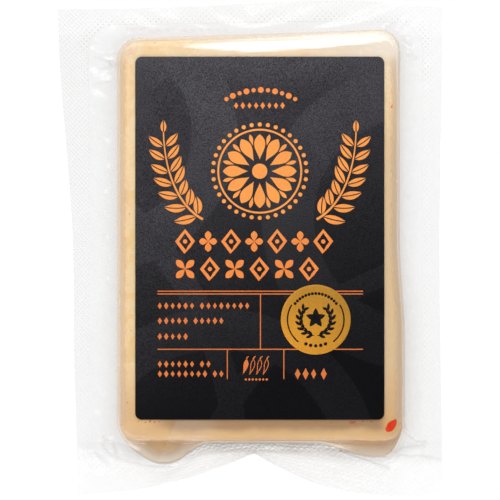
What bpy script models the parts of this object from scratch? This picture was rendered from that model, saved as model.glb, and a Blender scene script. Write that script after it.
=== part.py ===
"""Folded halloumi in a clear vacuum pouch, lying on its back with its label up.

The block is one slab of cheese folded in two. Its fold is the round edge at the top, and its two free
ends lie at the foot. The pouch is two films shrunk onto the block. They meet halfway up its sides and run
out flat from there as a sealed flange, which has curled up at the foot.
Metres, +Z up. X is across the pack, and +Y is its top as the label reads.
"""

import math

import bmesh
import bpy

MM = 0.001

# Block of cheese, measured from the middle of the pack's flat outline
FRONT_LEFT = -37.7 * MM
FRONT_RIGHT = 42.3 * MM
FRONT_TOP = 61.3 * MM
FRONT_FOOT = -55.2 * MM
BLOCK_HEIGHT = 18.6 * MM
FOLD_HEIGHT = 9.4 * MM
BACK_OVERHANG = 0.4 * MM
BLOCK_CORNER = 5.5 * MM
FRONT_ROUNDING = 3.0 * MM
BACK_ROUNDING = 3.5 * MM
BACK_FOLD_REACH = 6.0 * MM
BACK_FOLD_DEPTH = 7.0 * MM

# The block isn't quite square: its fold rises towards the right, and its right side splays out below
FOLD_TILT = 1.25 * MM
TILT_FADE = 20.0 * MM
RIGHT_SPLAY = 1.5 * MM
SPLAY_START = 3.0 * MM
SPLAY_LENGTH = 29.0 * MM

# Front face's ends: each falls away as a gentle facet, then turns down over a crest. The fold's facet
# begins nearest the label at FACET_MIDDLE and farther out beside it.
FOLD_REACH = 7.0 * MM
FOOT_REACH = 6.4 * MM
FACET_SLOPE = 0.23
FACET_EASE = 0.5 * MM
FOLD_FACET_START = 2.0 * MM
FOOT_FACET_START = 0.3 * MM
FACET_NARROWING = 3.3 * MM
FACET_MIDDLE = 3.0 * MM
FACET_SPREAD_LEFT = 28.0 * MM
FACET_SPREAD_RIGHT = 40.0 * MM
CREST_REACH = 1.5 * MM
FOLD_CREST_DEPTH = 6.0 * MM
FOOT_CREST_DEPTH = 2.8 * MM

# The film's run-out from the block's sides to the flange: outset from the block, height off the seam
FRONT_RUN_OUT = ((0.0, 1.9 * MM), (0.3 * MM, 0.8 * MM))
BACK_RUN_OUT = ((0.1 * MM, 0.9 * MM), (0.0, 2.0 * MM))

# Back layer's two lobes, which reach out past the front layer at the foot
LEFT_LOBE_DEPTH = 5.8 * MM
LEFT_LOBE_INNER = -12.0 * MM
LEFT_LOBE_INNER_SLOPE = 12.0 * MM
LEFT_LOBE_OUTER = -38.7 * MM
LEFT_LOBE_OUTER_SLOPE = 13.0 * MM
RIGHT_LOBE_DEPTH = 3.9 * MM
RIGHT_LOBE_INNER = 18.0 * MM
RIGHT_LOBE_INNER_SLOPE = 17.0 * MM
RIGHT_LOBE_OUTER = 44.8 * MM
RIGHT_LOBE_OUTER_SLOPE = 7.0 * MM
LOBE_FADE = 22.0 * MM

# Pouch
FLANGE_THICKNESS = 0.5 * MM
SEAL_LEFT = -46.8 * MM
SEAL_RIGHT = 49.6 * MM
SEAL_TOP = 64.7 * MM
SEAL_FOOT = -63.6 * MM
SEAL_CORNER = 8.0 * MM
SEAL_BULGE_SHARE = 0.4
POUCH_LEFT = -55.4 * MM
POUCH_RIGHT = 55.2 * MM
POUCH_TOP = 69.1 * MM
POUCH_FOOT = -71.3 * MM
TOP_BULGE = 2.6 * MM
TOP_BULGE_MIDDLE = 27.0 * MM
TOP_BULGE_SPREAD_LEFT = 42.0 * MM
TOP_BULGE_SPREAD_RIGHT = 23.0 * MM
LEFT_TAPER = 3.4 * MM
LEFT_TAPER_RATE = 1.7
LEFT_TOE_IN = 2.4 * MM
LEFT_TOE_IN_POWER = 6

# How the flange lies: the sides droop, the foot's middle curls up, and small waves run round it.
# Seen from above, the curl hides CURL_HIDDEN of the foot's flange at CURL_MIDDLE, and less beside it.
SIDE_DROOP = math.radians(26.0)
TOP_DROOP = math.radians(6.0)
DROOP_ARC = 4.0 * MM
CURL_START = 1.0 * MM
CURL_ARC = 2.6 * MM
CURL_MIDDLE = 1.1 * MM
CURL_HIDDEN = 12.9 * MM
CURL_SPREAD_LEFT = 23.4 * MM
CURL_SPREAD_RIGHT = 16.5 * MM
CURL_POWER = 1.25
STEEPEST_CURL = math.radians(88.0)
WAVE_HEIGHT = 0.55 * MM
WAVE_LENGTH = 31.0 * MM
WAVE_ONSET = 8.0 * MM

# Label and round sticker
LABEL_WIDTH = 71.4 * MM
LABEL_LENGTH = 104.1 * MM
LABEL_MIDDLE = (2.65 * MM, 3.25 * MM)
LABEL_CORNER = 1.9 * MM
LABEL_THICKNESS = 0.3 * MM
STICKER_DIAMETER = 20.0 * MM
STICKER_MIDDLE = (18.7 * MM, -20.1 * MM)
STICKER_THICKNESS = 0.3 * MM
GAP = 0.3 * MM

# Facets, and where sections stand between the seam and the seal, and between the seal and the cut edge
SIDE_STEPS = 20
TOP_STEPS = 16
FOOT_STEPS = 44
CORNER_STEPS = 6
ROUNDING_STEPS = 5
MOAT_SHARES = (0.22, 0.5)
BAND_SHARES = (0.33, 0.66)
ANGLE_HALVINGS = 30
BEZIER_QUARTER = 0.5523
STICKER_SIDES = 64


def clear_scene():
    for obj in list(bpy.data.objects):
        bpy.data.objects.remove(obj, do_unlink=True)


def smooth_step(value):
    value = min(max(value, 0.0), 1.0)
    return value * value * (3 - 2 * value)


def lobe(x):
    """How far the back layer reaches past the front layer at the foot, at this x."""
    left = smooth_step((LEFT_LOBE_INNER - x) / LEFT_LOBE_INNER_SLOPE)
    left *= smooth_step((x - LEFT_LOBE_OUTER) / LEFT_LOBE_OUTER_SLOPE)
    right = smooth_step((x - RIGHT_LOBE_INNER) / RIGHT_LOBE_INNER_SLOPE)
    right *= smooth_step((RIGHT_LOBE_OUTER - x) / RIGHT_LOBE_OUTER_SLOPE)
    return LEFT_LOBE_DEPTH * left + RIGHT_LOBE_DEPTH * right


def between(inner, outer, share):
    """The points this share of the way from each inner point to its outer one."""
    return [
        (a[0] + (b[0] - a[0]) * share, a[1] + (b[1] - a[1]) * share)
        for a, b in zip(inner, outer)
    ]


def corner_point(middle, radius, start, share, roundness):
    """A point of a corner: on its arc at roundness 1, or on its two straight sides at roundness 0."""
    angle = start + share * math.pi / 2
    arc = (math.cos(angle), math.sin(angle))
    reach = max(abs(arc[0]), abs(arc[1]))
    factor = radius * (roundness + (1 - roundness) / reach)
    return middle[0] + arc[0] * factor, middle[1] + arc[1] * factor


def ring(left, right, foot, top, radius, roundness=1.0):
    """A closed rectangle with rounded or sharp corners, from the right side's foot, anticlockwise."""
    low_x, high_x = left + radius, right - radius
    low_y, high_y = foot + radius, top - radius
    sides = [
        (SIDE_STEPS, (right, low_y), (right, high_y), (high_x, high_y)),
        (TOP_STEPS, (high_x, top), (low_x, top), (low_x, high_y)),
        (SIDE_STEPS, (left, high_y), (left, low_y), (low_x, low_y)),
        (FOOT_STEPS, (low_x, foot), (high_x, foot), (high_x, low_y)),
    ]
    points = []
    for quarter, (steps, begin, end, middle) in enumerate(sides):
        for i in range(steps):
            points += between([begin], [end], i / steps)
        for i in range(CORNER_STEPS):
            start = quarter * math.pi / 2
            points.append(corner_point(middle, radius, start, i / CORNER_STEPS, roundness))
    return points


def skewed(x, y):
    """Moves a point of a square outline onto the block's, whose fold tilts and whose right side splays."""
    across = (2 * x - FRONT_LEFT - FRONT_RIGHT) / (FRONT_RIGHT - FRONT_LEFT)
    rise = FOLD_TILT * across * smooth_step(1 - (FRONT_TOP - y) / TILT_FADE)
    splay = RIGHT_SPLAY * smooth_step((SPLAY_START - y) / SPLAY_LENGTH) * smooth_step(x / FRONT_RIGHT)
    return x + splay, y + rise


def front_ring(inset, top_inset=None, foot_inset=None):
    """The front layer's outline, drawn in by inset, and at its two ends by their own insets."""
    top = FRONT_TOP - (inset if top_inset is None else top_inset)
    foot = FRONT_FOOT + (inset if foot_inset is None else foot_inset)
    plain = ring(FRONT_LEFT + inset, FRONT_RIGHT - inset, foot, top, BLOCK_CORNER - inset)
    return [skewed(x, y) for x, y in plain]


def back_ring(inset, top_inset=None):
    """The back layer's outline, with its lobes, drawn in by inset, and at the fold by top_inset."""
    grow = BACK_OVERHANG - inset
    top = FRONT_TOP + (grow if top_inset is None else -top_inset)
    plain = ring(FRONT_LEFT - grow, FRONT_RIGHT + grow, FRONT_FOOT - grow, top, BLOCK_CORNER + grow)
    return [skewed(x, y - lobe(x) * lobe_share(y)) for x, y in plain]


def lobe_share(y):
    """1 at the block's foot, falling to 0 a little above it, so that a lobe also takes the corners down."""
    return smooth_step(1 - (y - FRONT_FOOT) / LOBE_FADE)


def end_share(beyond, reach):
    """1 at an end of the block, falling to 0 where the long sides begin. Beyond counts from the end."""
    return smooth_step((beyond + reach + BLOCK_CORNER) / (BLOCK_CORNER + reach / 2))


def facet_drop(distance, start, reach, crest_depth):
    """How far the front has fallen at this distance from the inner edge of one of its ends."""
    eased = (distance - start + math.hypot(distance - start, FACET_EASE)) / 2
    eased -= (math.hypot(start, FACET_EASE) - start) / 2
    over_crest = min(max((distance - reach + CREST_REACH) / CREST_REACH, 0.0), 1.0)
    return FACET_SLOPE * eased + crest_depth * (1 - math.sqrt(1 - over_crest**2))


def fold_facet_start(x):
    spread = FACET_SPREAD_RIGHT if x > FACET_MIDDLE else FACET_SPREAD_LEFT
    return FOLD_FACET_START + FACET_NARROWING * ((x - FACET_MIDDLE) / spread) ** 2


def front_section(step):
    """A section of the front layer's edge, from step 0, where its flat face ends."""
    angle = step / ROUNDING_STEPS * math.pi / 2
    out = math.sin(angle)
    section = []
    for x, y in front_ring(FRONT_ROUNDING * (1 - out), FOLD_REACH * (1 - out), FOOT_REACH * (1 - out)):
        drop = FRONT_ROUNDING * (1 - math.cos(angle))
        at_fold = facet_drop(FOLD_REACH * out, fold_facet_start(x), FOLD_REACH, FOLD_CREST_DEPTH)
        at_foot = facet_drop(FOOT_REACH * out, FOOT_FACET_START, FOOT_REACH, FOOT_CREST_DEPTH)
        drop += (at_fold - drop) * end_share(y - FRONT_TOP, FOLD_REACH)
        drop += (at_foot - drop) * end_share(FRONT_FOOT - y, FOOT_REACH)
        section.append((x, y, BLOCK_HEIGHT - drop))
    return section


def back_section(step):
    """A section of the back layer's rounded edge, from step 0, where its flat face ends."""
    angle = step / ROUNDING_STEPS * math.pi / 2
    out = math.sin(angle)
    section = []
    for x, y in back_ring(BACK_ROUNDING * (1 - out), BACK_FOLD_REACH * (1 - out)):
        depth = BACK_ROUNDING
        depth += (BACK_FOLD_DEPTH - depth) * end_share(y - FRONT_TOP, BACK_FOLD_REACH)
        section.append((x, y, depth * (1 - math.cos(angle))))
    return section


def seam_ring(grow):
    """The line where the two films meet, which runs round both layers."""
    return back_ring(-(grow - BACK_OVERHANG))


def seal_ring():
    """The inner edge of the sealed band, in the flat film."""
    plain = ring(SEAL_LEFT, SEAL_RIGHT, SEAL_FOOT, SEAL_TOP, SEAL_CORNER)
    return [(x, y + SEAL_BULGE_SHARE * top_bulge(x, y)) for x, y in plain]


def pouch_ring():
    """The pouch's cut edge, in the flat film."""
    points = ring(POUCH_LEFT, POUCH_RIGHT, POUCH_FOOT, POUCH_TOP, SEAL_CORNER, roundness=0.0)
    return [shape_edge(x, y) for x, y in points]


def top_bulge(x, y):
    """How far the film's top edge stands out here from a straight one."""
    spread = TOP_BULGE_SPREAD_RIGHT if x > TOP_BULGE_MIDDLE else TOP_BULGE_SPREAD_LEFT
    return TOP_BULGE * math.exp(-(((x - TOP_BULGE_MIDDLE) / spread) ** 2)) * smooth_step(y / POUCH_TOP)


def shape_edge(x, y):
    """Moves a point of the straight outline onto the real one: bulged at the top, tapered on the left."""
    leftward = smooth_step(x / POUCH_LEFT)
    down = (POUCH_TOP - y) / (POUCH_TOP - POUCH_FOOT)
    taper = LEFT_TAPER * smooth_step(LEFT_TAPER_RATE * down)
    taper += LEFT_TOE_IN * smooth_step(down) ** LEFT_TOE_IN_POWER
    return x + taper * leftward, y + top_bulge(x, y)


def bent(distance, height, angle, arc):
    """The reach and the rise of a point on a strip that turns up by angle along its first arc of length."""
    turned = angle * min(distance / arc, 1.0)
    if abs(angle) < 1e-6:
        return distance, height
    radius = arc / angle
    reach = radius * math.sin(turned)
    rise = radius * (1 - math.cos(turned))
    beyond = max(distance - arc, 0.0)
    reach += beyond * math.cos(turned) - height * math.sin(turned)
    rise += beyond * math.sin(turned) + height * math.cos(turned)
    return reach, rise


def curl_angle(x, width):
    """The angle at which the foot's flange stands, so that its cut edge shows the arch seen from above."""
    away = x - CURL_MIDDLE
    spread = CURL_SPREAD_RIGHT if away > 0 else CURL_SPREAD_LEFT
    hidden = CURL_HIDDEN * math.exp(-((abs(away) / spread) ** CURL_POWER))
    low, high = 0.0, STEEPEST_CURL
    for _ in range(ANGLE_HALVINGS):
        middle = (low + high) / 2
        if width - bent(width, 0.0, middle, CURL_ARC)[0] < hidden:
            low = middle
        else:
            high = middle
    return (low + high) / 2


def along(value, low, high):
    """0 at both ends of a side and 1 in its middle."""
    return math.sin(math.pi * min(max((value - low) / (high - low), 0.0), 1.0))


def lay_flange(x, y, height):
    """Takes a point of the flat film, at this height over its middle surface, to where it really lies."""
    side_angle = -SIDE_DROOP * along(y, POUCH_FOOT, POUCH_TOP)
    top_angle = -TOP_DROOP * along(x, POUCH_LEFT, POUCH_RIGHT)
    foot_line = FRONT_FOOT - CURL_START - lobe(x)
    left_line = FRONT_LEFT - CURL_START
    right_line = FRONT_RIGHT + RIGHT_SPLAY + CURL_START
    top_line = FRONT_TOP + CURL_START
    out_x, out_y, out_z = x, y, height
    flat_width = foot_line - POUCH_FOOT
    if y < foot_line:
        reach, out_z = bent(foot_line - y, out_z, curl_angle(x, flat_width), CURL_ARC)
        out_y = foot_line - reach
    elif y > top_line:
        reach, out_z = bent(y - top_line, out_z, top_angle, DROOP_ARC)
        out_y = top_line + reach
    if x < left_line:
        reach, out_z = bent(left_line - x, out_z, side_angle, DROOP_ARC)
        out_x = left_line - reach
    elif x > right_line:
        reach, out_z = bent(x - right_line, out_z, side_angle, DROOP_ARC)
        out_x = right_line + reach
    outside = max(left_line - x, x - right_line, y - top_line, foot_line - y, 0.0)
    wave = math.sin(2 * math.pi * (x - y) / WAVE_LENGTH) * smooth_step(outside / WAVE_ONSET)
    return out_x, out_y, FOLD_HEIGHT + out_z + WAVE_HEIGHT * wave


def pouch_sections():
    """The pouch's closed sections, from its front face out to its cut edge and back in under the block."""
    half = FLANGE_THICKNESS / 2
    sections = [front_section(step) for step in range(ROUNDING_STEPS + 1)]
    for outset, rise in FRONT_RUN_OUT:
        sections.append([(x, y, FOLD_HEIGHT + rise) for x, y in front_ring(-outset)])

    seam = seam_ring(CURL_START)
    seal = seal_ring()
    edge = pouch_ring()
    moat = [between(seam, seal, share) for share in MOAT_SHARES]
    band = [between(seal, edge, share) for share in BAND_SHARES]
    flats = [seam, *moat, seal, *band, edge]
    sections += [[lay_flange(x, y, half) for x, y in flat] for flat in flats]
    sections += [[lay_flange(x, y, -half) for x, y in flat] for flat in reversed(flats)]

    for outset, drop in BACK_RUN_OUT:
        sections.append([(x, y, FOLD_HEIGHT - drop) for x, y in back_ring(-outset)])
    sections += [back_section(step) for step in reversed(range(ROUNDING_STEPS + 1))]
    return sections


def lofted_mesh(name, sections):
    """One closed body through closed sections that all have as many points, with a flat cap at each end."""
    bm = bmesh.new()
    rows = [[bm.verts.new(point) for point in section] for section in sections]
    count = len(rows[0])
    for upper, lower in zip(rows, rows[1:]):
        for i in range(count):
            j = (i + 1) % count
            bm.faces.new((upper[i], lower[i], lower[j], upper[j]))
    bm.faces.new(rows[0])
    bm.faces.new(list(reversed(rows[-1])))
    bmesh.ops.recalc_face_normals(bm, faces=bm.faces)
    mesh = bpy.data.meshes.new(name)
    bm.to_mesh(mesh)
    bm.free()
    return mesh


def principled(name, colour, roughness, metallic=0.0):
    material = bpy.data.materials.new(name)
    material.use_nodes = True
    shader = material.node_tree.nodes["Principled BSDF"]
    shader.inputs["Base Color"].default_value = (*colour, 1.0)
    shader.inputs["Roughness"].default_value = roughness
    shader.inputs["Metallic"].default_value = metallic
    return material


def add_piece(collection, carrier, name, data, material):
    obj = bpy.data.objects.new(name, data)
    data.materials.append(material)
    obj.parent = carrier
    collection.objects.link(obj)
    return obj


def make_pouch(collection, carrier):
    mesh = lofted_mesh("pouch", pouch_sections())
    mesh.shade_smooth()
    mesh.set_sharp_from_angle(angle=math.radians(50))
    cheese = principled("cheese_in_film", (0.83, 0.62, 0.36), 0.3)
    return add_piece(collection, carrier, "pouch", mesh, cheese)


def make_label(collection, carrier):
    """A flat sheet with rounded corners: a 2D curve of four straight sides and four quarter circles."""
    curve = bpy.data.curves.new("label", "CURVE")
    curve.dimensions = "2D"
    curve.fill_mode = "BOTH"
    curve.extrude = LABEL_THICKNESS / 2
    curve.resolution_u = 5
    spline = curve.splines.new("BEZIER")
    spline.bezier_points.add(7)
    half_x, half_y = LABEL_WIDTH / 2, LABEL_LENGTH / 2
    handle = LABEL_CORNER * BEZIER_QUARTER
    places = []
    for sx, sy in ((1, -1), (1, 1), (-1, 1), (-1, -1)):
        on_side = ((sx * half_x, sy * (half_y - LABEL_CORNER)), (0, sy * handle))
        on_end = ((sx * (half_x - LABEL_CORNER), sy * half_y), (sx * handle, 0))
        places += [on_end, on_side] if sx * sy < 0 else [on_side, on_end]
    for i, (point, (place, towards)) in enumerate(zip(spline.bezier_points, places)):
        leaving = i % 2 == 0
        rounded = (place[0] + towards[0], place[1] + towards[1], 0)
        straight = (place[0] - towards[0], place[1] - towards[1], 0)
        point.handle_left_type = point.handle_right_type = "FREE"
        point.co = (*place, 0)
        point.handle_right = rounded if leaving else straight
        point.handle_left = straight if leaving else rounded
    spline.use_cyclic_u = True
    paper = principled("label_print", (0.035, 0.034, 0.04), 0.5)
    label = add_piece(collection, carrier, "label", curve, paper)
    label.location = (*LABEL_MIDDLE, BLOCK_HEIGHT + GAP + LABEL_THICKNESS / 2)
    return label


def make_sticker(collection, carrier):
    bm = bmesh.new()
    radius = STICKER_DIAMETER / 2
    bmesh.ops.create_cone(
        bm,
        cap_ends=True,
        segments=STICKER_SIDES,
        radius1=radius,
        radius2=radius,
        depth=STICKER_THICKNESS,
    )
    mesh = bpy.data.meshes.new("award_sticker")
    bm.to_mesh(mesh)
    bm.free()
    mesh.shade_smooth()
    mesh.set_sharp_from_angle(angle=math.radians(40))
    gold = principled("sticker_gold", (0.62, 0.36, 0.06), 0.35, 0.3)
    sticker = add_piece(collection, carrier, "award_sticker", mesh, gold)
    below = BLOCK_HEIGHT + GAP + LABEL_THICKNESS + GAP
    sticker.location = (*STICKER_MIDDLE, below + STICKER_THICKNESS / 2)
    return sticker


def centre_on_origin(carrier, pouch):
    """Moves the whole pack so that the middle of its outline stands over the origin."""
    xs = [v.co.x for v in pouch.data.vertices]
    ys = [v.co.y for v in pouch.data.vertices]
    carrier.location = (-(min(xs) + max(xs)) / 2, -(min(ys) + max(ys)) / 2, 0)


def main():
    clear_scene()
    collection = bpy.data.collections.new("folded_halloumi_pack")
    bpy.context.scene.collection.children.link(collection)
    carrier = bpy.data.objects.new("pack_origin", None)
    collection.objects.link(carrier)
    pouch = make_pouch(collection, carrier)
    make_label(collection, carrier)
    make_sticker(collection, carrier)
    centre_on_origin(carrier, pouch)


main()
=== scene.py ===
import math
import random

import bpy
import numpy as np
from bpy.props import FloatProperty, FloatVectorProperty, PointerProperty
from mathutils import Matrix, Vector, noise


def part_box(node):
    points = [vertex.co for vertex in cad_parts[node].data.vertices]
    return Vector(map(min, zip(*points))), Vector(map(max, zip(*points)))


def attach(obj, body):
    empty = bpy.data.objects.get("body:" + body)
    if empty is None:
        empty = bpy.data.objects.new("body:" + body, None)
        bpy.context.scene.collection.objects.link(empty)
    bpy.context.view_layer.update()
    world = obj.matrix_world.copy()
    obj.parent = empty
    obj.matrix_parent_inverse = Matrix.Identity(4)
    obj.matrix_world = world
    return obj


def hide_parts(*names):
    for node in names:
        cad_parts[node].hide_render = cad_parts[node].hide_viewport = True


bl_info = {
    "name": "Folded halloumi pack",
    "version": (1, 0, 0),
    "blender": (4, 5, 0),
    "location": "View3D > Sidebar > Halloumi",
    "description": "Folded halloumi in a clear vacuum pouch, with its label and sticker",
    "category": "Add Mesh",
}

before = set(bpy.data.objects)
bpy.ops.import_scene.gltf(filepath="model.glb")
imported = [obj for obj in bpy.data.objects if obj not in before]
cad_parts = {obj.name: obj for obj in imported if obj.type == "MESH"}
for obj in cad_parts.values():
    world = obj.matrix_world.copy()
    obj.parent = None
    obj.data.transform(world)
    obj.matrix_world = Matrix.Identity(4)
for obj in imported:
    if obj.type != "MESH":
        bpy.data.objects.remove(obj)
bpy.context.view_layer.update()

MM = 0.001
PIXEL = 0.288
PICTURE_PIXELS = 500
PICTURE_MIDDLE = (250.5, 249.5)

# Shapes are worked out in millimetres from the middle of the photograph, as in the part's source.
# A pixel of it is PIXEL wide at the height of the label.
# The label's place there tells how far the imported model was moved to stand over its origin.
LABEL_MIDDLE = np.array((2.65, 3.25))
LABEL_WIDTH = 71.4
LABEL_LENGTH = 104.1
LABEL_CORNER = 1.9
label_low, label_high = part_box("label")
MOVED = np.array((label_low + label_high)[:2]) / 2 / MM - LABEL_MIDDLE

# Block of cheese, folded in two with the fold at its top
FRONT_LEFT = -37.7
FRONT_RIGHT = 42.3
FRONT_TOP = 61.3
FRONT_FOOT = -55.2
FOLD_HEIGHT = 9.4
BACK_OVERHANG = 0.4
BLOCK_CORNER = 5.5
FRONT_ROUNDING = 3.0
BACK_ROUNDING = 3.5
BACK_FOLD_REACH = 6.0
BACK_FOLD_DEPTH = 7.0
FOLD_TILT = 1.25
TILT_FADE = 20.0
RIGHT_SPLAY = 1.5
SPLAY_START = 3.0
SPLAY_LENGTH = 29.0
FOLD_REACH = 7.0
FOOT_REACH = 6.4
FACET_SLOPE = 0.23
FACET_EASE = 0.5
FOLD_FACET_START = 2.0
FOOT_FACET_START = 0.3
FACET_NARROWING = 3.3
FACET_MIDDLE = 3.0
FACET_SPREAD_LEFT = 28.0
FACET_SPREAD_RIGHT = 40.0
CREST_REACH = 1.5
FOLD_CREST_DEPTH = 6.0
FOOT_CREST_DEPTH = 2.8
CROWN = 0.3
LEFT_LOBE_DEPTH = 5.8
LEFT_LOBE_INNER = -12.0
LEFT_LOBE_INNER_SLOPE = 12.0
LEFT_LOBE_OUTER = -38.7
LEFT_LOBE_OUTER_SLOPE = 13.0
RIGHT_LOBE_DEPTH = 3.9
RIGHT_LOBE_INNER = 18.0
RIGHT_LOBE_INNER_SLOPE = 17.0
RIGHT_LOBE_OUTER = 44.8
RIGHT_LOBE_OUTER_SLOPE = 7.0
LOBE_FADE = 22.0

# Pouch
SEAL_LEFT = -46.8
SEAL_RIGHT = 49.6
SEAL_TOP = 64.7
SEAL_FOOT = -63.6
SEAL_CORNER = 8.0
SEAL_BULGE_SHARE = 0.4
POUCH_LEFT = -55.4
POUCH_RIGHT = 55.2
POUCH_TOP = 69.1
POUCH_FOOT = -71.3
TOP_BULGE = 2.6
TOP_BULGE_MIDDLE = 27.0
TOP_BULGE_SPREAD_LEFT = 42.0
TOP_BULGE_SPREAD_RIGHT = 23.0
LEFT_TAPER = 3.4
LEFT_TAPER_RATE = 1.7
LEFT_TOE_IN = 2.4
LEFT_TOE_IN_POWER = 6
SIDE_DROOP = math.radians(26.0)
TOP_DROOP = math.radians(6.0)
DROOP_ARC = 4.0
CURL_START = 1.0
CURL_ARC = 2.6
CURL_MIDDLE = 1.1
CURL_HIDDEN = 12.9
CURL_SPREAD_LEFT = 23.4
CURL_SPREAD_RIGHT = 16.5
CURL_POWER = 1.25
STEEPEST_CURL = math.radians(88.0)
WAVE_HEIGHT = 0.55
WAVE_LENGTH = 31.0
WAVE_ONSET = 8.0

# Label's print and the sticker, measured from the label's middle
STICKER_PLACE = np.array((16.05, -23.35))
STICKER_RADIUS = 10.0
STICKER_ROUNDING = 0.04
STICKER_THICKNESS = 0.105
STICKER_LIFT = 0.015
LABEL_LIFT = 0.02
PRINT_SINK = 0.01
PRINT_RISE = 0.012

# Facets
SIDE_STEPS = 130
TOP_STEPS = 110
FOOT_STEPS = 220
CORNER_STEPS = 28


def smooth(value):
    value = np.clip(value, 0.0, 1.0)
    return value * value * (3 - 2 * value)


def ramp(value, start, end):
    """0 at start and before it, 1 at end and past it, with a smooth rise between them."""
    return smooth((value - start) / (end - start))


def bell(value):
    """1 at 0, and about a third at 1 and at -1."""
    return np.exp(-(value**2))


def lobe(x):
    """How far the back layer reaches past the front layer at the foot."""
    left = smooth((LEFT_LOBE_INNER - x) / LEFT_LOBE_INNER_SLOPE)
    left *= smooth((x - LEFT_LOBE_OUTER) / LEFT_LOBE_OUTER_SLOPE)
    right = smooth((x - RIGHT_LOBE_INNER) / RIGHT_LOBE_INNER_SLOPE)
    right *= smooth((RIGHT_LOBE_OUTER - x) / RIGHT_LOBE_OUTER_SLOPE)
    return LEFT_LOBE_DEPTH * left + RIGHT_LOBE_DEPTH * right


def ring(left, right, foot, top, radius, roundness=1.0):
    """A closed rectangle with rounded or sharp corners, from the right side's foot, anticlockwise."""
    low_x, high_x = left + radius, right - radius
    low_y, high_y = foot + radius, top - radius
    sides = [
        (SIDE_STEPS, (right, low_y), (right, high_y), (high_x, high_y)),
        (TOP_STEPS, (high_x, top), (low_x, top), (low_x, high_y)),
        (SIDE_STEPS, (left, high_y), (left, low_y), (low_x, low_y)),
        (FOOT_STEPS, (low_x, foot), (high_x, foot), (high_x, low_y)),
    ]
    runs = []
    for quarter, (steps, begin, end, middle) in enumerate(sides):
        share = np.arange(steps)[:, None] / steps
        runs.append(np.array(begin) * (1 - share) + np.array(end) * share)
        angle = (quarter + np.arange(CORNER_STEPS) / CORNER_STEPS) * math.pi / 2
        arc = np.stack([np.cos(angle), np.sin(angle)], axis=1)
        reach = np.abs(arc).max(axis=1, keepdims=True)
        runs.append(np.array(middle) + arc * radius * (roundness + (1 - roundness) / reach))
    return np.concatenate(runs)


def block_skew(x, y):
    """How far a point of a square outline lies from the block's, whose fold tilts and whose side splays."""
    across = (2 * x - FRONT_LEFT - FRONT_RIGHT) / (FRONT_RIGHT - FRONT_LEFT)
    rise = FOLD_TILT * across * smooth(1 - (FRONT_TOP - y) / TILT_FADE)
    splay = RIGHT_SPLAY * smooth((SPLAY_START - y) / SPLAY_LENGTH) * smooth(x / FRONT_RIGHT)
    return splay, rise


def skewed(points):
    return points + np.stack(block_skew(points[:, 0], points[:, 1]), axis=1)


def front_ring(inset, top_inset=None, foot_inset=None):
    """The front layer's outline, drawn in by inset, and at its two ends by their own insets."""
    top = FRONT_TOP - (inset if top_inset is None else top_inset)
    foot = FRONT_FOOT + (inset if foot_inset is None else foot_inset)
    return skewed(ring(FRONT_LEFT + inset, FRONT_RIGHT - inset, foot, top, BLOCK_CORNER - inset))


def lobe_share(y):
    return smooth(1 - (y - FRONT_FOOT) / LOBE_FADE)


def back_ring(inset, top_inset=None):
    """The back layer's outline, with its two lobes at the foot."""
    grow = BACK_OVERHANG - inset
    top = FRONT_TOP + (grow if top_inset is None else -top_inset)
    points = ring(FRONT_LEFT - grow, FRONT_RIGHT + grow, FRONT_FOOT - grow, top, BLOCK_CORNER + grow)
    points[:, 1] -= lobe(points[:, 0]) * lobe_share(points[:, 1])
    return skewed(points)


def end_share(beyond, reach):
    """1 at an end of the block, falling to 0 where the long sides begin. Beyond counts from the end."""
    return smooth((beyond + reach + BLOCK_CORNER) / (BLOCK_CORNER + reach / 2))


def facet_drop(distance, start, reach, crest_depth):
    """How far the front has fallen at this distance from the inner edge of one of its ends."""
    eased = (distance - start + np.hypot(distance - start, FACET_EASE)) / 2
    eased = eased - (np.hypot(start, FACET_EASE) - start) / 2
    over_crest = np.clip((distance - reach + CREST_REACH) / CREST_REACH, 0.0, 1.0)
    return FACET_SLOPE * eased + crest_depth * (1 - np.sqrt(1 - over_crest**2))


def fold_facet_start(x):
    spread = np.where(x > FACET_MIDDLE, FACET_SPREAD_RIGHT, FACET_SPREAD_LEFT)
    return FOLD_FACET_START + FACET_NARROWING * ((x - FACET_MIDDLE) / spread) ** 2


def segment_distance(flat, begin, end):
    """Each point's distance from a segment."""
    run = np.array(end) - begin
    share = np.clip((flat - begin) @ run / (run @ run), 0, 1)
    return np.hypot(*(flat - begin - share[:, None] * run).T)


# Soft ridges of the front, which the label shows: begin, end, height and width
SOFT_RIDGES = (
    ((22.6, 40.2), (40.0, 55.4), 0.10, 2.2),
    ((-30.0, 49.0), (-12.0, 56.0), 0.05, 2.6),
)


def front_height(points, height):
    """The front's height, which is crowned a little and not quite even."""
    x, y = points[:, 0], points[:, 1]
    across = (x - (FRONT_LEFT + FRONT_RIGHT) / 2) / ((FRONT_RIGHT - FRONT_LEFT) / 2)
    down = (y - (FRONT_TOP + FRONT_FOOT) / 2) / ((FRONT_TOP - FRONT_FOOT) / 2)
    uneven = 0.035 * np.sin(x / 6.1 + 0.4 * np.sin(y / 9.0)) + 0.045 * np.sin(y / 8.3 + x / 17.0)
    for begin, end, rise, width in SOFT_RIDGES:
        uneven += rise * bell(segment_distance(points[:, :2], begin, end) / width)
    return height + (CROWN + uneven) * np.clip(1 - across**4, 0, 1) * np.clip(1 - down**4, 0, 1)


def top_bulge(x, y):
    """How far the film's top edge stands out here from a straight one."""
    spread = np.where(x > TOP_BULGE_MIDDLE, TOP_BULGE_SPREAD_RIGHT, TOP_BULGE_SPREAD_LEFT)
    return TOP_BULGE * np.exp(-(((x - TOP_BULGE_MIDDLE) / spread) ** 2)) * smooth(y / POUCH_TOP)


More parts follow.
